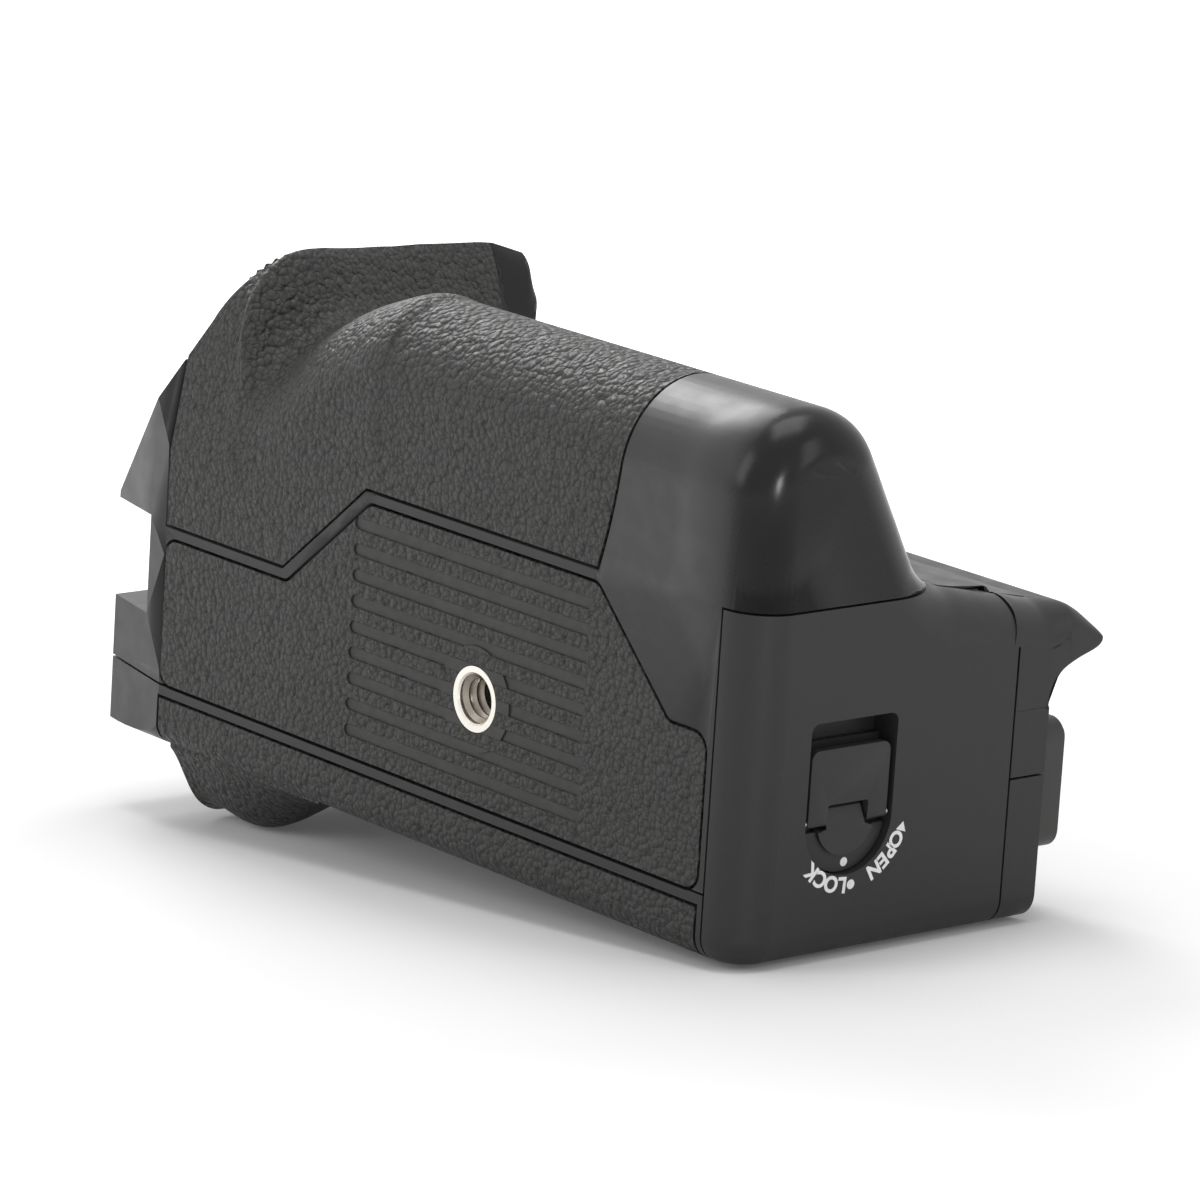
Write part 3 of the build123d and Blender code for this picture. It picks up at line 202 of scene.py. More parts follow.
# Grain of the moulded plastics
GRAIN_SCALE, GRAIN_HEIGHT = 5200, 0.00005
SPECK_SCALE, SPECK_LIGHT = 1500, 2.2

# Smooth zones of the front shell, painted darker there as painted shade: where they start and where they are
# full
END_ZONE_X, END_ZONE_Z = (43.5 * MM, 47.5 * MM), (20 * MM, 23 * MM)
HORN_ZONE_X, HORN_ZONE_Z = (-50 * MM, -53 * MM), (30 * MM, 33 * MM)


def grained_plastic(name, colour, roughness=0.45, grain=0.25, scale=GRAIN_SCALE):
    """Moulded plastic with a fine spark-eroded grain and a few bright specks."""
    material, shader = new_material(name, colour, roughness, specular=0.22)
    g = Graph(material.node_tree, shader)
    specks = g.voronoi(SPECK_SCALE).outputs["Distance"]
    g.colours(g.ramp(specks, 0.03, 0.09), [min(1.0, c * SPECK_LIGHT) for c in colour], colour)
    g.bump(g.noise(scale), grain, GRAIN_HEIGHT)
    g.roughness(g.ramp(g.noise(300, 4), 0.25, 0.75, roughness - 0.05, roughness + 0.07))
    return material


def crest_plastic(name, colour, dark):
    """Shell plastic that turns smoother on the crest's end and the horn, and darker there as painted shade.
    """
    material, shader = new_material(name, colour, 0.36, specular=0.22)
    g = Graph(material.node_tree, shader)
    x, _, z = g.axes()
    near = g.product(g.ramp(x, *END_ZONE_X), g.ramp(z, *END_ZONE_Z))
    horn = g.product(g.ramp(x, *HORN_ZONE_X), g.ramp(z, *HORN_ZONE_Z))
    polish_and_painted_shade = g.math("MAXIMUM", near, horn)
    # Painted shade: the smooth zones take the darker colour
    g.colours(polish_and_painted_shade, colour, dark)
    g.bump(g.product(g.noise(GRAIN_SCALE), g.inverse(g.product(polish_and_painted_shade, 0.6))), 0.18, GRAIN_HEIGHT)
    matt = g.ramp(g.noise(300, 4), 0.25, 0.75, 0.33, 0.42)
    g.roughness(g.math("SUBTRACT", matt, g.product(polish_and_painted_shade, 0.13)))
    return material


def metal(name, colour, roughness, lathe=False):
    """Turned or brushed metal."""
    material, shader = new_material(name, colour, roughness, metallic=1.0)
    g = Graph(material.node_tree, shader)
    g.roughness(g.ramp(g.noise(700, 5), 0.2, 0.8, roughness - 0.06, roughness + 0.12))
    g.bump(g.noise(1800 if lathe else 4000, 3), 0.12, 0.00003)
    return material


def flecked(name, colour, light, scale, roughness):
    """Plain moulding or board with a slight variation of its colour."""
    material, shader = new_material(name, colour, roughness)
    g = Graph(material.node_tree, shader)
    g.colours(g.ramp(g.noise(scale, 4), 0.35, 0.7), colour, light)
    g.bump(g.noise(scale * 6), 0.15, 0.00004)
    return material


SHELL = (0.0345, 0.0342, 0.0340)
RUBBER = (0.0470, 0.0455, 0.0440)
rubber = pebbled_rubber("rubber_pebbled", RUBBER)
rubber_base = pebbled_rubber("rubber_base", RUBBER, striped=True)
pad_rubber = grained_plastic("rubber_pad", (0.045, 0.045, 0.045), 0.7, grain=0.4, scale=3000)
shell = grained_plastic("shell", SHELL, 0.36, grain=0.18)
cap_plastic = grained_plastic("cap_plastic", (0.062, 0.061, 0.060), 0.40, grain=0.3)
# The crest's end and the horn get a darker colour, as painted shade
crest_end = crest_plastic("shell_front", SHELL, (0.010, 0.010, 0.0104))
door = grained_plastic("door", (0.0350, 0.0350, 0.0350), 0.40)
key = grained_plastic("key", (0.0370, 0.0370, 0.0370), 0.40, grain=0.15)
control = grained_plastic("controls", (0.02, 0.02, 0.021), 0.35, grain=0.15)
bay = grained_plastic("bay", (0.03, 0.03, 0.031), 0.55)
cell = grained_plastic("battery_case", (0.075, 0.075, 0.078), 0.5)
board = flecked("board", (0.012, 0.09, 0.045), (0.02, 0.13, 0.07), 300, 0.35)
socket = metal("socket_metal", (0.80, 0.76, 0.70), 0.22, lathe=True)
# The socket's thread is painted darker than the socket's metal, as painted shade deep in the bore
shaded_thread_metal = metal("shaded_thread_metal", (0.30, 0.27, 0.23), 0.30, lathe=True)
steel = metal("steel", (0.62, 0.61, 0.60), 0.30)
alloy = metal("alloy_plate", (0.55, 0.55, 0.56), 0.42)
black_steel = metal("black_steel", (0.06, 0.06, 0.06), 0.38)
gold = metal("contact_gold", (0.90, 0.66, 0.28), 0.25)
switch = flecked("switch", (0.05, 0.05, 0.05), (0.09, 0.09, 0.09), 500, 0.5)
white_paint = flecked("white_paint", (0.86, 0.86, 0.86), (0.93, 0.93, 0.93), 900, 0.5)

LOOKS = {
    shell: ["rear_shell"],
    cap_plastic: ["terminal_cap"],
    crest_end: ["front_shell"],
    door: ["tray_cover"],
    key: ["latch_key", "latch_disk"],
    rubber: ["front_rubber", "rear_rubber"],
    rubber_base: ["bottom_rubber"],
    pad_rubber: ["camera_pad", "door_seal"],
    control: ["shutter_button", "fn_button", "lock_ring", "front_dial", "rear_dial", "af_on_button",
              "ae_lock_button", "q_button", "focus_stick", "attachment_wheel"],
    bay: ["battery_bay", "bay_contacts", "tray_frame", "stick_base", "stick_gimbal",
          "terminal_block"],
    cell: ["battery_front", "battery_rear"],
    board: ["main_board", "slope_board", "control_board"],
    socket: ["tripod_socket"],
    steel: ["attachment_screw", "locating_pins", "strap_bar", "key_pins", "rear_dial_axle", "latch_bolt"],
    alloy: ["chassis_plate", "mating_plate"],
    black_steel: ["case_screws"],
    gold: ["terminal_contacts"],
    switch: ["button_switches"],
}
for material, names in LOOKS.items():
    for name in names:
        slots = nodes[name].data.materials
        slots.clear()
        slots.append(material)


# Pieces made here
def add_mesh(name, mesh, material, body, stands_for=()):
    """Put a finished mesh in the scene and let it ride on its body."""
    piece = bpy.data.objects.new(name, mesh)
    bpy.context.scene.collection.objects.link(piece)
    mesh.materials.clear()
    mesh.materials.append(material)
    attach(piece, body)
    if stands_for:
        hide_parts(*stands_for)


def soften(mesh, degrees):
    """Smooth shading everywhere but at edges sharper than an angle."""
    for face in mesh.polygons:
        face.use_smooth = True
    mesh.set_sharp_from_angle(angle=math.radians(degrees))
    return mesh


def finished(bm, name, degrees=35):
    """Mesh of a bmesh, with its normals outward and its soft edges shaded smooth."""
    bmesh.ops.recalc_face_normals(bm, faces=bm.faces)
    mesh = bpy.data.meshes.new(name)
    bm.to_mesh(mesh)
    bm.free()
    return soften(mesh, degrees)


def rounded(points, steps=6):
    """Outline of (y, z, corner radius) points with its corners rounded."""
    outline = []
    for i, (y, z, radius) in enumerate(points):
        corner = Vector((y, z))
        if radius == 0:
            outline.append(corner)
            continue
        before = (Vector(points[i - 1][:2]) - corner).normalized()
        after = (Vector(points[(i + 1) % len(points)][:2]) - corner).normalized()
        half = before.angle(after) / 2
        centre = corner + (before + after).normalized() * radius / math.sin(half)
        start = corner + before * radius / math.tan(half)
        end = corner + after * radius / math.tan(half)
        for k in range(steps + 1):
            spot = start.lerp(end, k / steps) - centre
            outline.append(centre + spot.normalized() * radius)
    return outline


def slab(bm, outline, x_low, x_high):
    """Plate between two heights along X; gives back its front edges."""
    front = [bm.verts.new((x_high, y, z)) for y, z in outline]
    back = [bm.verts.new((x_low, y, z)) for y, z in outline]
    face = bm.faces.new(front)
    bm.faces.new(back[::-1])
    for i in range(len(outline)):
        k = (i + 1) % len(outline)
        bm.faces.new((front[i], back[i], back[k], front[k]))
    return list(face.edges)


def bevel(bm, edges, width, segments=3):
    """Round edges off over a width."""
    bmesh.ops.bevel(bm, geom=edges, offset=width, segments=segments, profile=0.5, affect="EDGES",
                    clamp_overlap=True)


def in_metres(mesh):
    """A mesh drawn in millimetres, brought to metres."""
    mesh.transform(Matrix.Scale(MM, 4))
    return mesh


def rectangle(y_low, z_low, y_high, z_high):
    """Outline of a box seen along X."""
    return [(y_low, z_low), (y_high, z_low), (y_high, z_high), (y_low, z_high)]


THREAD_STEPS = 48


def helix_mesh(name, turns, pitch, profile):
    """Open strip: a profile of (radius, shift along Y) points wound round the Y axis."""
    mesh = bpy.data.meshes.new(name)
    verts, faces = [], []
    count = len(profile)
    total = int(turns * THREAD_STEPS)
    for i in range(total + 1):
        angle = 2 * math.pi * i / THREAD_STEPS
        rise = pitch * i / THREAD_STEPS
        for radius, shift in profile:
            verts.append((radius * math.cos(angle), rise + shift, radius * math.sin(angle)))
    for i in range(total):
        for k in range(count - 1):
            a = i * count + k
            faces.append((a, a + 1, a + count + 1, a + count))
    mesh.from_pydata(verts, [], faces)
    mesh.update()
    for face in mesh.polygons:
        face.use_smooth = False
    return mesh


# Key latch: flap with full-width legs, and the disk with its raised boss, in millimetres
LATCH_Y, LATCH_Z = 17.4, -4.8
KEY_LOW, KEY_HIGH, KEY_HALF, KEY_TOP, KEY_CORNER = 50.5, 51.7, 6.45, 4.4, 1.2
LEG_FOOT = LATCH_Z - 0.6
NOTCH_HALF, NOTCH_TOP, NOTCH_CORNER = 3.3, -2.75, 0.35
LEG_ROUND, KEY_EDGE, NEAR = 0.55, 0.16, 0.01
flap = rounded([(-KEY_HALF, KEY_TOP, KEY_CORNER), (-KEY_HALF, LEG_FOOT, 0), (-NOTCH_HALF, LEG_FOOT, 0),
                (-NOTCH_HALF, NOTCH_TOP, NOTCH_CORNER), (NOTCH_HALF, NOTCH_TOP, NOTCH_CORNER),
                (NOTCH_HALF, LEG_FOOT, 0), (KEY_HALF, LEG_FOOT, 0), (KEY_HALF, KEY_TOP, KEY_CORNER)])
bm = bmesh.new()
slab(bm, [(LATCH_Y + y, z) for y, z in flap], KEY_LOW, KEY_HIGH)
feet = [e for e in bm.edges
        if all(v.co.z < LEG_FOOT + NEAR for v in e.verts) and e.verts[0].co.x == e.verts[1].co.x]
bevel(bm, feet, LEG_ROUND, 5)
rim = [e for e in bm.edges
       if all(v.co.x > KEY_HIGH - NEAR for v in e.verts) and not e.is_boundary and e.calc_face_angle(0) > 0.8]
bevel(bm, rim, KEY_EDGE)
add_mesh("latch_key_flap", in_metres(finished(bm, "latch_key_flap")), key, "key_flap",
         ("latch_key",))

DISK_LOW, DISK_HIGH, DISK_R, DISK_EDGE = 48.65, 50.0, 6.9, 0.22
BOSS_HIGH, BOSS_R, BOSS_HALF, BOSS_STEP, BOSS_TOP, BOSS_EDGE = 51.5, 4.65, 2.95, -1.15, 1.6, 0.24
BOSS_FALL, BOSS_FALL_START = 0.7, DISK_HIGH + 0.5
SHAFT_R, SHAFT_LOW = 2.4, 44.15
RING_HIGH, RING_DIP, RING_EDGE = 50.95, 11.0, 0.2
# The boss and the ring start a little inside the disk
SUNK = DISK_HIGH - 0.1


def arc(radius, first, last, steps):
    """Points on a circle round the latch's axis, between two angles in degrees."""
    angles = [math.radians(first + (last - first) * i / steps) for i in range(steps + 1)]
    return [(LATCH_Y + radius * math.cos(a), LATCH_Z + radius * math.sin(a)) for a in angles]


bm = bmesh.new()
bevel(bm, slab(bm, arc(DISK_R, 0, 356, 89), DISK_LOW, DISK_HIGH), DISK_EDGE)
slab(bm, arc(SHAFT_R, 0, 352.5, 47), SHAFT_LOW, DISK_LOW)
dip = math.degrees(math.asin(BOSS_STEP / BOSS_R))
boss = [(LATCH_Y - BOSS_HALF, LATCH_Z + BOSS_TOP), (LATCH_Y - BOSS_HALF, LATCH_Z + BOSS_STEP)]
boss += arc(BOSS_R, 180 - dip, 360 + dip, 40)
boss += [(LATCH_Y + BOSS_HALF, LATCH_Z + BOSS_STEP), (LATCH_Y + BOSS_HALF, LATCH_Z + BOSS_TOP)]
bevel(bm, slab(bm, boss, SUNK, BOSS_HIGH), BOSS_EDGE)
brim = arc(DISK_R, 180 + RING_DIP, 360 - RING_DIP, 48)
bevel(bm, slab(bm, brim, SUNK, RING_HIGH), RING_EDGE)
for vert in bm.verts:
    rise = vert.co.z - LATCH_Z - BOSS_STEP
    if rise > 0 and vert.co.x > BOSS_FALL_START:
        vert.co.x -= BOSS_FALL * (rise / (BOSS_TOP - BOSS_STEP)) ** 2
add_mesh("latch_disk_boss", in_metres(finished(bm, "latch_disk_boss")), key, "battery_tray",
         ("latch_disk",))

# Front lip: the shell without its plain lip, and a smooth lip with one rounded end in its place
LIP_LOW_X, LIP_HIGH_X, LIP_CUT_Y = -43.0, 52.0, 50.25
LIP_PROFILE = [(49.6, 18.40), (50.3, 18.30), (52.2, 18.18), (53.9, 17.98), (55.4, 17.15), (57.0, 15.72),
               (58.3, 14.40), (58.93, 13.55), (58.75, 12.75), (57.7, 12.05), (55.0, 11.15),
               (52.7, 10.10), (51.55, 9.00), (50.8, 7.60), (50.4, 6.35), (50.15, 5.9), (49.6, 5.9)]
LIP_NOSE = 7
LIP_STEPS = 5
LIP_LOWER_R = 0.5


def curve_through(points, steps):
    """Smooth open curve through points."""
    ends = [Vector(points[0]) * 2 - Vector(points[1])] + [Vector(q) for q in points]
    ends.append(Vector(points[-1]) * 2 - Vector(points[-2]))
    out = []
    for i in range(1, len(ends) - 2):
        a, b, c, d = ends[i - 1:i + 3]
        for k in range(steps):
            t = k / steps
            out.append((2 * b + (c - a) * t + (2 * a - 5 * b + 4 * c - d) * t ** 2
                        + (3 * b - a - 3 * c + d) * t ** 3) / 2)
    return out + [ends[-2]]


def between(table, x):
    """Straight-line value of a table at x."""
    for (x0, y0), (x1, y1) in zip(table, table[1:]):
        if x <= x1:
            return y0 + (y1 - y0) * max(0.0, x - x0) / (x1 - x0)
    return table[-1][1]


def inset(radius, distance):
    """How far a rounded edge lies inside its sharp one, at a distance from the end."""
    gap = max(0.0, radius - distance)
    return radius - math.sqrt(max(0.0, radius * radius - gap * gap))


def blade(name, profile, depths, nose, stations, end_x):
    """Closed bar along X with a smooth profile; where depths are given, its end is rounded off by them."""
    outline = curve_through(profile, LIP_STEPS)
    bm = bmesh.new()
    rings = []
    for x in stations:
        ring = []
        for i, spot in enumerate(outline):
            ahead = outline[min(i + 1, len(outline) - 1)] - outline[max(i - 1, 0)]
            over = i <= nose * LIP_STEPS
            inward = Vector((ahead.y, -ahead.x)).normalized()
            if i in (0, len(outline) - 1):
                inward = Vector((0, -1 if over else 1))
            radius = (between(depths, spot.x) if over else LIP_LOWER_R) if depths else 0
            y, z = spot + inward * inset(radius, end_x - x)
            ring.append(bm.verts.new((x, y, z)))
        rings.append(ring)
    for low, high in zip(rings, rings[1:]):
        for i in range(len(outline)):
            k = (i + 1) % len(outline)
            bm.faces.new((low[i], low[k], high[k], high[i]))
    caps = [bm.faces.new(rings[0][::-1]), bm.faces.new(rings[-1])]
    bmesh.ops.triangulate(bm, faces=caps, ngon_method="EAR_CLIP")
    add_mesh(name, in_metres(finished(bm, name, 50)), shell, "casing")


CORNER_X, CORNER_Y, CORNER_Z = 45.9, 44.4, 5.5
END_PROFILE = [(44.42, 19.62), (46.0, 19.22), (48.0, 18.75)] + LIP_PROFILE[1:-3] + [
    (50.42, 6.3), (50.3, 5.6), (50.2, 5.3), (49.9, 5.2), (47.0, 5.2), (44.42, 5.2)]
END_DEPTH = [(44.4, 5.6), (50.0, 5.6), (53.9, 3.6), (55.4, 2.9), (57.0, 1.9), (58.3, 0.9), (59.0, 0.4)]
END_GAPS = (5.6, 5.0, 4.2, 3.5, 2.8, 2.2, 1.7, 1.3, 0.95, 0.65, 0.42, 0.24, 0.1, 0.03, 0)
LIP_LAP = 0.05
blade("front_lip", LIP_PROFILE, None, LIP_NOSE, (LIP_LOW_X, CORNER_X + LIP_LAP), LIP_HIGH_X)
blade("front_lip_end", END_PROFILE, END_DEPTH, LIP_NOSE + 2,
      [CORNER_X] + [LIP_HIGH_X - gap for gap in END_GAPS], LIP_HIGH_X)


def carved(mesh, outline, x_low, x_high, name):
    """Copy of a mesh with a prism along X taken out of it, its (y, z) outline in millimetres."""
    body = bpy.data.objects.new("carve_body", mesh.copy())
    bm = bmesh.new()
    slab(bm, [(y * MM, z * MM) for y, z in outline], x_low * MM, x_high * MM)
    tool = bpy.data.objects.new("carve_tool", finished(bm, "carve_tool", 30))
    for thing in (body, tool):
        bpy.context.scene.collection.objects.link(thing)
    cut = body.modifiers.new("cut", "BOOLEAN")
    cut.operation, cut.solver, cut.object = "DIFFERENCE", "EXACT", tool
    ready = body.evaluated_get(bpy.context.evaluated_depsgraph_get())
    result = bpy.data.meshes.new_from_object(ready)
    result.name = name
    for thing in (body, tool):
        bpy.data.objects.remove(thing)
    return result


# Rooms that are cut away reach past the shell on their far sides
FAR_X, FAR_Y = 60, 70
lip_room = rectangle(LIP_CUT_Y, 4, FAR_Y, 21)
corner_room = rectangle(CORNER_Y, CORNER_Z, FAR_Y, 26)
shell_mesh = carved(nodes["front_shell"].data, lip_room, LIP_LOW_X - 1, FAR_X, "front_shell_body")
shell_mesh = carved(shell_mesh, corner_room, CORNER_X, FAR_X, "front_shell_body")
soften(shell_mesh, 24)
add_mesh("front_shell_body", shell_mesh, crest_end, "casing", ("front_shell",))

# Valley between crest and lip: a cover over the bay, and the bay and seal cut back under it
VALLEY = [(35.55, 20.42), (35.55, 21.33), (38.0, 20.92), (40.5, 20.66), (43.2, 20.46), (43.85, 20.2),
          (44.42, 19.56), (44.42, 19.2), (43.75, 19.2), (43.5, 20.25), (43.2, 20.4)]
VALLEY_LOW_X, VALLEY_HIGH_X = -12.6, 45.58
BAY_ROOM, BAY_ROOM_X = rectangle(35.5, 19.15, 46, 23), (-14, 47)
SEAL_ROOM, SEAL_ROOM_X = [(33, 21.75), (45, 19.35), (45, 23), (33, 23)], (44, 48)
bm = bmesh.new()
slab(bm, VALLEY, VALLEY_LOW_X, VALLEY_HIGH_X)
cover_mesh = in_metres(finished(bm, "valley_cover", 30))
add_mesh("valley_cover", cover_mesh, crest_end, "casing")
bay_mesh = carved(nodes["battery_bay"].data, BAY_ROOM, *BAY_ROOM_X, "bay_cut")
add_mesh("bay_cut", soften(bay_mesh, 30), bay, "casing", ("battery_bay",))
seal_mesh = carved(nodes["door_seal"].data, SEAL_ROOM, *SEAL_ROOM_X, "seal_cut")
add_mesh("seal_cut", soften(seal_mesh, 30), pad_rubber, "battery_tray", ("door_seal",))

# Thread of the tripod socket: half widths at its root and its crest
PITCH, CREST_H = 1.27 * MM, 0.62 * MM
ROOT_HALF, CREST_HALF = 0.48 * PITCH, 0.06 * PITCH
SOCKET_R, SOCKET_LOW_Y = 3.2 * MM, 0.62 * MM
socket_thread = helix_mesh("socket_thread", 3.3, PITCH,
                           [(SOCKET_R, -ROOT_HALF), (SOCKET_R - CREST_H, -CREST_HALF),
                            (SOCKET_R - CREST_H, CREST_HALF), (SOCKET_R, ROOT_HALF)])
socket_thread.transform(Matrix.Translation((0, SOCKET_LOW_Y, 0)))
add_mesh("socket_thread", socket_thread, shaded_thread_metal, "casing")

# Printed marks on the door: their centre, the circles that they stand on and their sizes
MARK_X, MARK_Y, MARK_Z = 52.012 * MM, 17.85 * MM, -4.35 * MM
TEXT_R, OPEN_R, TEXT_H = 7.9 * MM, 7.75 * MM, 2.0 * MM
MID_R = TEXT_R + TEXT_H / 2
CAPITAL_SHARE, LETTER_DEPTH, LETTER_BOLD = 0.72, 0.00001, 0.0001
LOCK_DOT_R, LOCK_DOT_TURN = 0.62 * MM, -86
DISK_DOT_R, DISK_DOT = 0.58 * MM, (50.97 * MM, 18.0 * MM, -10.55 * MM)
ARROW_TURN, ARROW_HALF, ARROW_FOOT, ARROW_TIP = -17, 0.85 * MM, 0.45 * MM, 0.75 * MM
LETTERS = [("O", -28.0, OPEN_R), ("P", -38.5, OPEN_R), ("E", -48.5, OPEN_R), ("N", -60.0, OPEN_R),
           ("L", -95.0, TEXT_R), ("O", -107.5, TEXT_R), ("C", -120.5, TEXT_R), ("K", -133.0, TEXT_R)]


def on_circle(radius, degrees):
    """Place on the door, on a circle round the centre of the marks."""
    angle = math.radians(degrees)
    return MARK_X, MARK_Y + radius * math.cos(angle), MARK_Z + radius * math.sin(angle)


def letter(text, place, degrees, name):
    """One letter on the door, its foot towards the latch."""
    curve = bpy.data.curves.new(name, "FONT")
    curve.body = text
    curve.size = TEXT_H / CAPITAL_SHARE
    curve.align_x = "CENTER"
    curve.extrude = LETTER_DEPTH
    curve.offset = LETTER_BOLD
    holder = bpy.data.objects.new(name, curve)
    bpy.context.scene.collection.objects.link(holder)
    bpy.context.view_layer.update()
    mesh = bpy.data.meshes.new_from_object(holder.evaluated_get(bpy.context.evaluated_depsgraph_get()))
    bpy.data.objects.remove(holder)
    angle = math.radians(degrees)
    outward = Vector((0, math.cos(angle), math.sin(angle)))
    along = Vector((0, outward.z, -outward.y))
    turn = Matrix((along, outward, Vector((1, 0, 0)))).transposed().to_4x4()
    mesh.transform(Matrix.Translation(place) @ turn)
    return mesh


def disc_mesh(name, radius, place, sides=32):
    """Flat round mark, a single face that looks along X."""
    x, y, z = place
    mesh = bpy.data.meshes.new(name)
    angles = [2 * math.pi * i / sides for i in range(sides)]
    ring = [(x, y + radius * math.cos(angle), z + radius * math.sin(angle)) for angle in angles]
    mesh.from_pydata(ring, [], [tuple(range(sides))])
    return mesh


for i, (text, degrees, foot_r) in enumerate(LETTERS):
    name = f"mark_letter_{i}"
    mesh = letter(text, on_circle(foot_r, degrees), degrees, name)
    add_mesh(name, mesh, white_paint, "battery_tray")
lock_dot = disc_mesh("mark_lock_dot", LOCK_DOT_R, on_circle(MID_R, LOCK_DOT_TURN))
add_mesh("mark_lock_dot", lock_dot, white_paint, "battery_tray")
arrow = bpy.data.meshes.new("mark_open_arrow")
angle = math.radians(ARROW_TURN)
out = Vector((0, math.cos(angle), math.sin(angle)))
side = Vector((0, -out.z, out.y))
mid = Vector((MARK_X, MARK_Y, MARK_Z)) + out * MID_R
points = (mid - out * ARROW_HALF - side * ARROW_FOOT, mid + out * ARROW_HALF - side * ARROW_FOOT,
          mid + side * ARROW_TIP)
arrow.from_pydata([tuple(point) for point in points], [], [(0, 1, 2)])
add_mesh("mark_open_arrow", arrow, white_paint, "battery_tray")
add_mesh("mark_disk_dot", disc_mesh("mark_disk_dot", DISK_DOT_R, DISK_DOT), white_paint, "battery_tray")

# Thread of the attachment screw, with the socket's pitch and crest
SCREW_R = 3.175 * MM
SCREW_FOOT = Vector((-29, 51.0, -9.6)) * MM
screw_thread = helix_mesh("screw_thread", 3.0, PITCH,
                          [(SCREW_R - CREST_H, -ROOT_HALF), (SCREW_R, -CREST_HALF),
                           (SCREW_R, CREST_HALF), (SCREW_R - CREST_H, ROOT_HALF)])
screw_thread.transform(Matrix.Translation(SCREW_FOOT))
add_mesh("screw_thread", screw_thread, steel, "screw_wheel")

# Floor under the two points that the object rests on
REST_NEAR = Vector((52.0, 0, -22.4)) * MM
REST_FAR = Vector((-58.0, 0, -32.5)) * MM
FLOOR_REACH, FLOOR_GAP, FLOOR_WHITE = 6, 0.0002, 0.82
GLOW_NEAR, GLOW_FAR, GLOW_LOW, GLOW_HIGH = 0.08, 0.5, 0.05, 0.8
along = (REST_NEAR - REST_FAR).normalized()
normal = Vector((-along.z, 0, along.x))
across = normal.cross(along)
floor_mesh = bpy.data.meshes.new("floor")
centre = (REST_NEAR + REST_FAR) / 2 - normal * FLOOR_GAP
corners = [centre + along * FLOOR_REACH * i + across * FLOOR_REACH * j
           for i, j in ((-1, -1), (1, -1), (1, 1), (-1, 1))]
floor_mesh.from_pydata([tuple(c) for c in corners], [], [(0, 1, 2, 3)])
floor = bpy.data.objects.new("floor", floor_mesh)
bpy.context.scene.collection.objects.link(floor)

# White that glows towards the distance where it is seen, and doesn't light the object
floor_mat = bpy.data.materials.new("floor_white")
floor_mat.use_nodes = True
floor_mat.node_tree.nodes.clear()
g = Graph(floor_mat.node_tree)
diffuse = g.add("ShaderNodeBsdfDiffuse")
diffuse.inputs["Color"].default_value = (FLOOR_WHITE, FLOOR_WHITE, FLOOR_WHITE, 1)
far = g.add("ShaderNodeVectorMath", operation="LENGTH")
g.link(g.object_place(), far.inputs[0])
spread = g.ramp(far.outputs["Value"], GLOW_NEAR, GLOW_FAR, GLOW_LOW, GLOW_HIGH, "LINEAR")
glow = g.add("ShaderNodeEmission")
g.link(g.product(g.seen(), spread), glow.inputs["Strength"])
total = g.add("ShaderNodeAddShader")
g.link(diffuse.outputs[0], total.inputs[0])
g.link(glow.outputs[0], total.inputs[1])
g.link(total.outputs[0], g.add("ShaderNodeOutputMaterial").inputs["Surface"])
floor_mesh.materials.append(floor_mat)

# World that looks white and lights less than it shows
WORLD_LIGHT, WORLD_SHOWN = 0.45, 1.0
world = bpy.data.worlds.new("studio")
bpy.context.scene.world = world
world.use_nodes = True
world.node_tree.nodes.clear()
g = Graph(world.node_tree)
background = g.add("ShaderNodeBackground")
background.inputs["Color"].default_value = (1, 1, 1, 1)
g.link(g.ramp(g.seen(), 0.0, 1.0, WORLD_LIGHT, WORLD_SHOWN, "LINEAR"), background.inputs["Strength"])
g.link(background.outputs[0], g.add("ShaderNodeOutputWorld").inputs["Surface"])

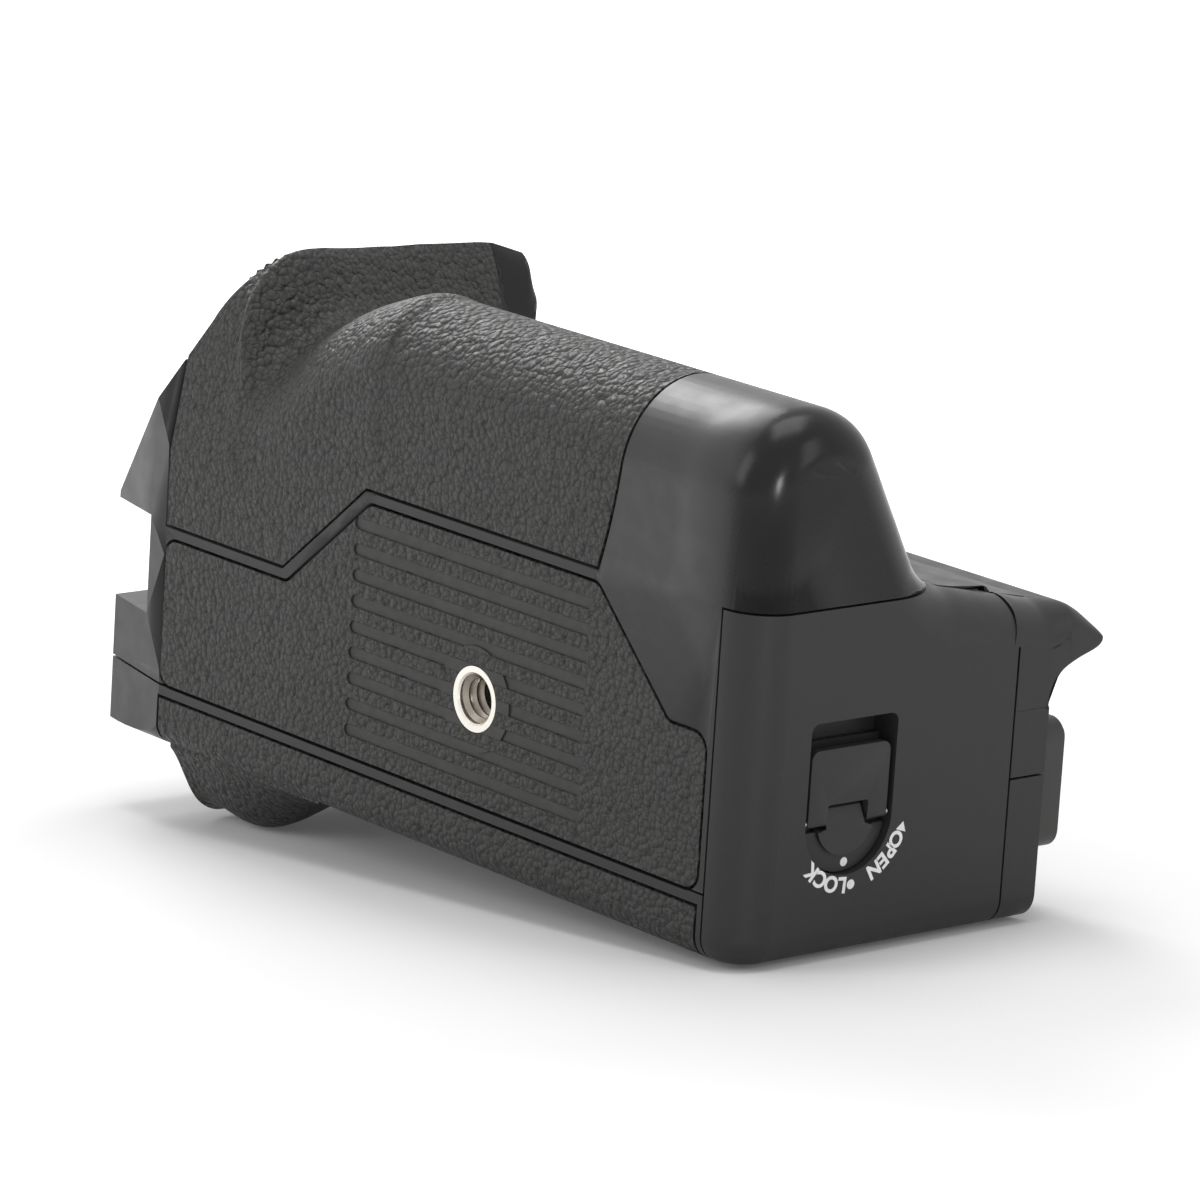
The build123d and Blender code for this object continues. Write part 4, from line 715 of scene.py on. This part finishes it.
# Lamps: name, place, point that it is aimed at, size in metres and power in watts
LAMPS = [("top", (-0.05, 0.05, 0.75), (0, 0.02, 0), (0.5, 0.5), 3.0),
         ("left", (-0.35, -0.65, 0.35), (-0.02, 0.02, 0), (0.35, 0.5), 1.5),
         ("right", (0.7, 0.25, 0.4), (0, 0.02, 0), (0.25, 0.5), 0.8),
         ("strip", (0.83, -0.34, 0.12), (0, 0.02, 0), (0.09, 0.3), 3.2),
         ("end", (-0.75, 0.25, 0.45), (0, 0.02, 0), (0.35, 0.35), 3.5)]


def softbox(name, where, target, size, power):
    """Large soft light aimed at the object."""
    data = bpy.data.lights.new(name, "AREA")
    data.shape = "RECTANGLE"
    data.size, data.size_y = size
    data.energy = power
    lamp = bpy.data.objects.new(name, data)
    bpy.context.scene.collection.objects.link(lamp)
    lamp.location = where
    lamp.rotation_euler = (Vector(target) - Vector(where)).to_track_quat("-Z", "Y").to_euler()
    return lamp


lamps = {row[0]: softbox(*row) for row in LAMPS}
# The strip shows in gloss alone
lamps["strip"].visible_diffuse = False

# Camera as the photograph was taken: its axes, its distances along them in millimetres, and its lens
BACK = Vector((0.7359, -0.6340, 0.2380)).normalized()
RIGHT = Vector((0.6399, 0.7660, 0.0617))
RIGHT = (RIGHT - RIGHT.dot(BACK) * BACK).normalized()
UP = BACK.cross(RIGHT)
CAMERA_BACK, CAMERA_RIGHT, CAMERA_UP = 855.5, 15.86, 12.53
FOCAL_PIXELS, PHOTO_PIXELS, SENSOR = 6778.41, 1200, 36
data = bpy.data.cameras.new("photo_view")
data.sensor_width = SENSOR
data.sensor_fit = "HORIZONTAL"
data.lens = FOCAL_PIXELS / PHOTO_PIXELS * SENSOR
data.clip_start = 0.05
data.clip_end = 30
camera = bpy.data.objects.new("photo_view", data)
bpy.context.scene.collection.objects.link(camera)
turn = Matrix((RIGHT, UP, BACK)).transposed().to_4x4()
stand = (CAMERA_BACK * BACK + CAMERA_RIGHT * RIGHT + CAMERA_UP * UP) * MM
camera.matrix_world = Matrix.Translation(stand) @ turn
bpy.context.scene.camera = camera
bpy.context.scene.view_settings.view_transform = "Standard"
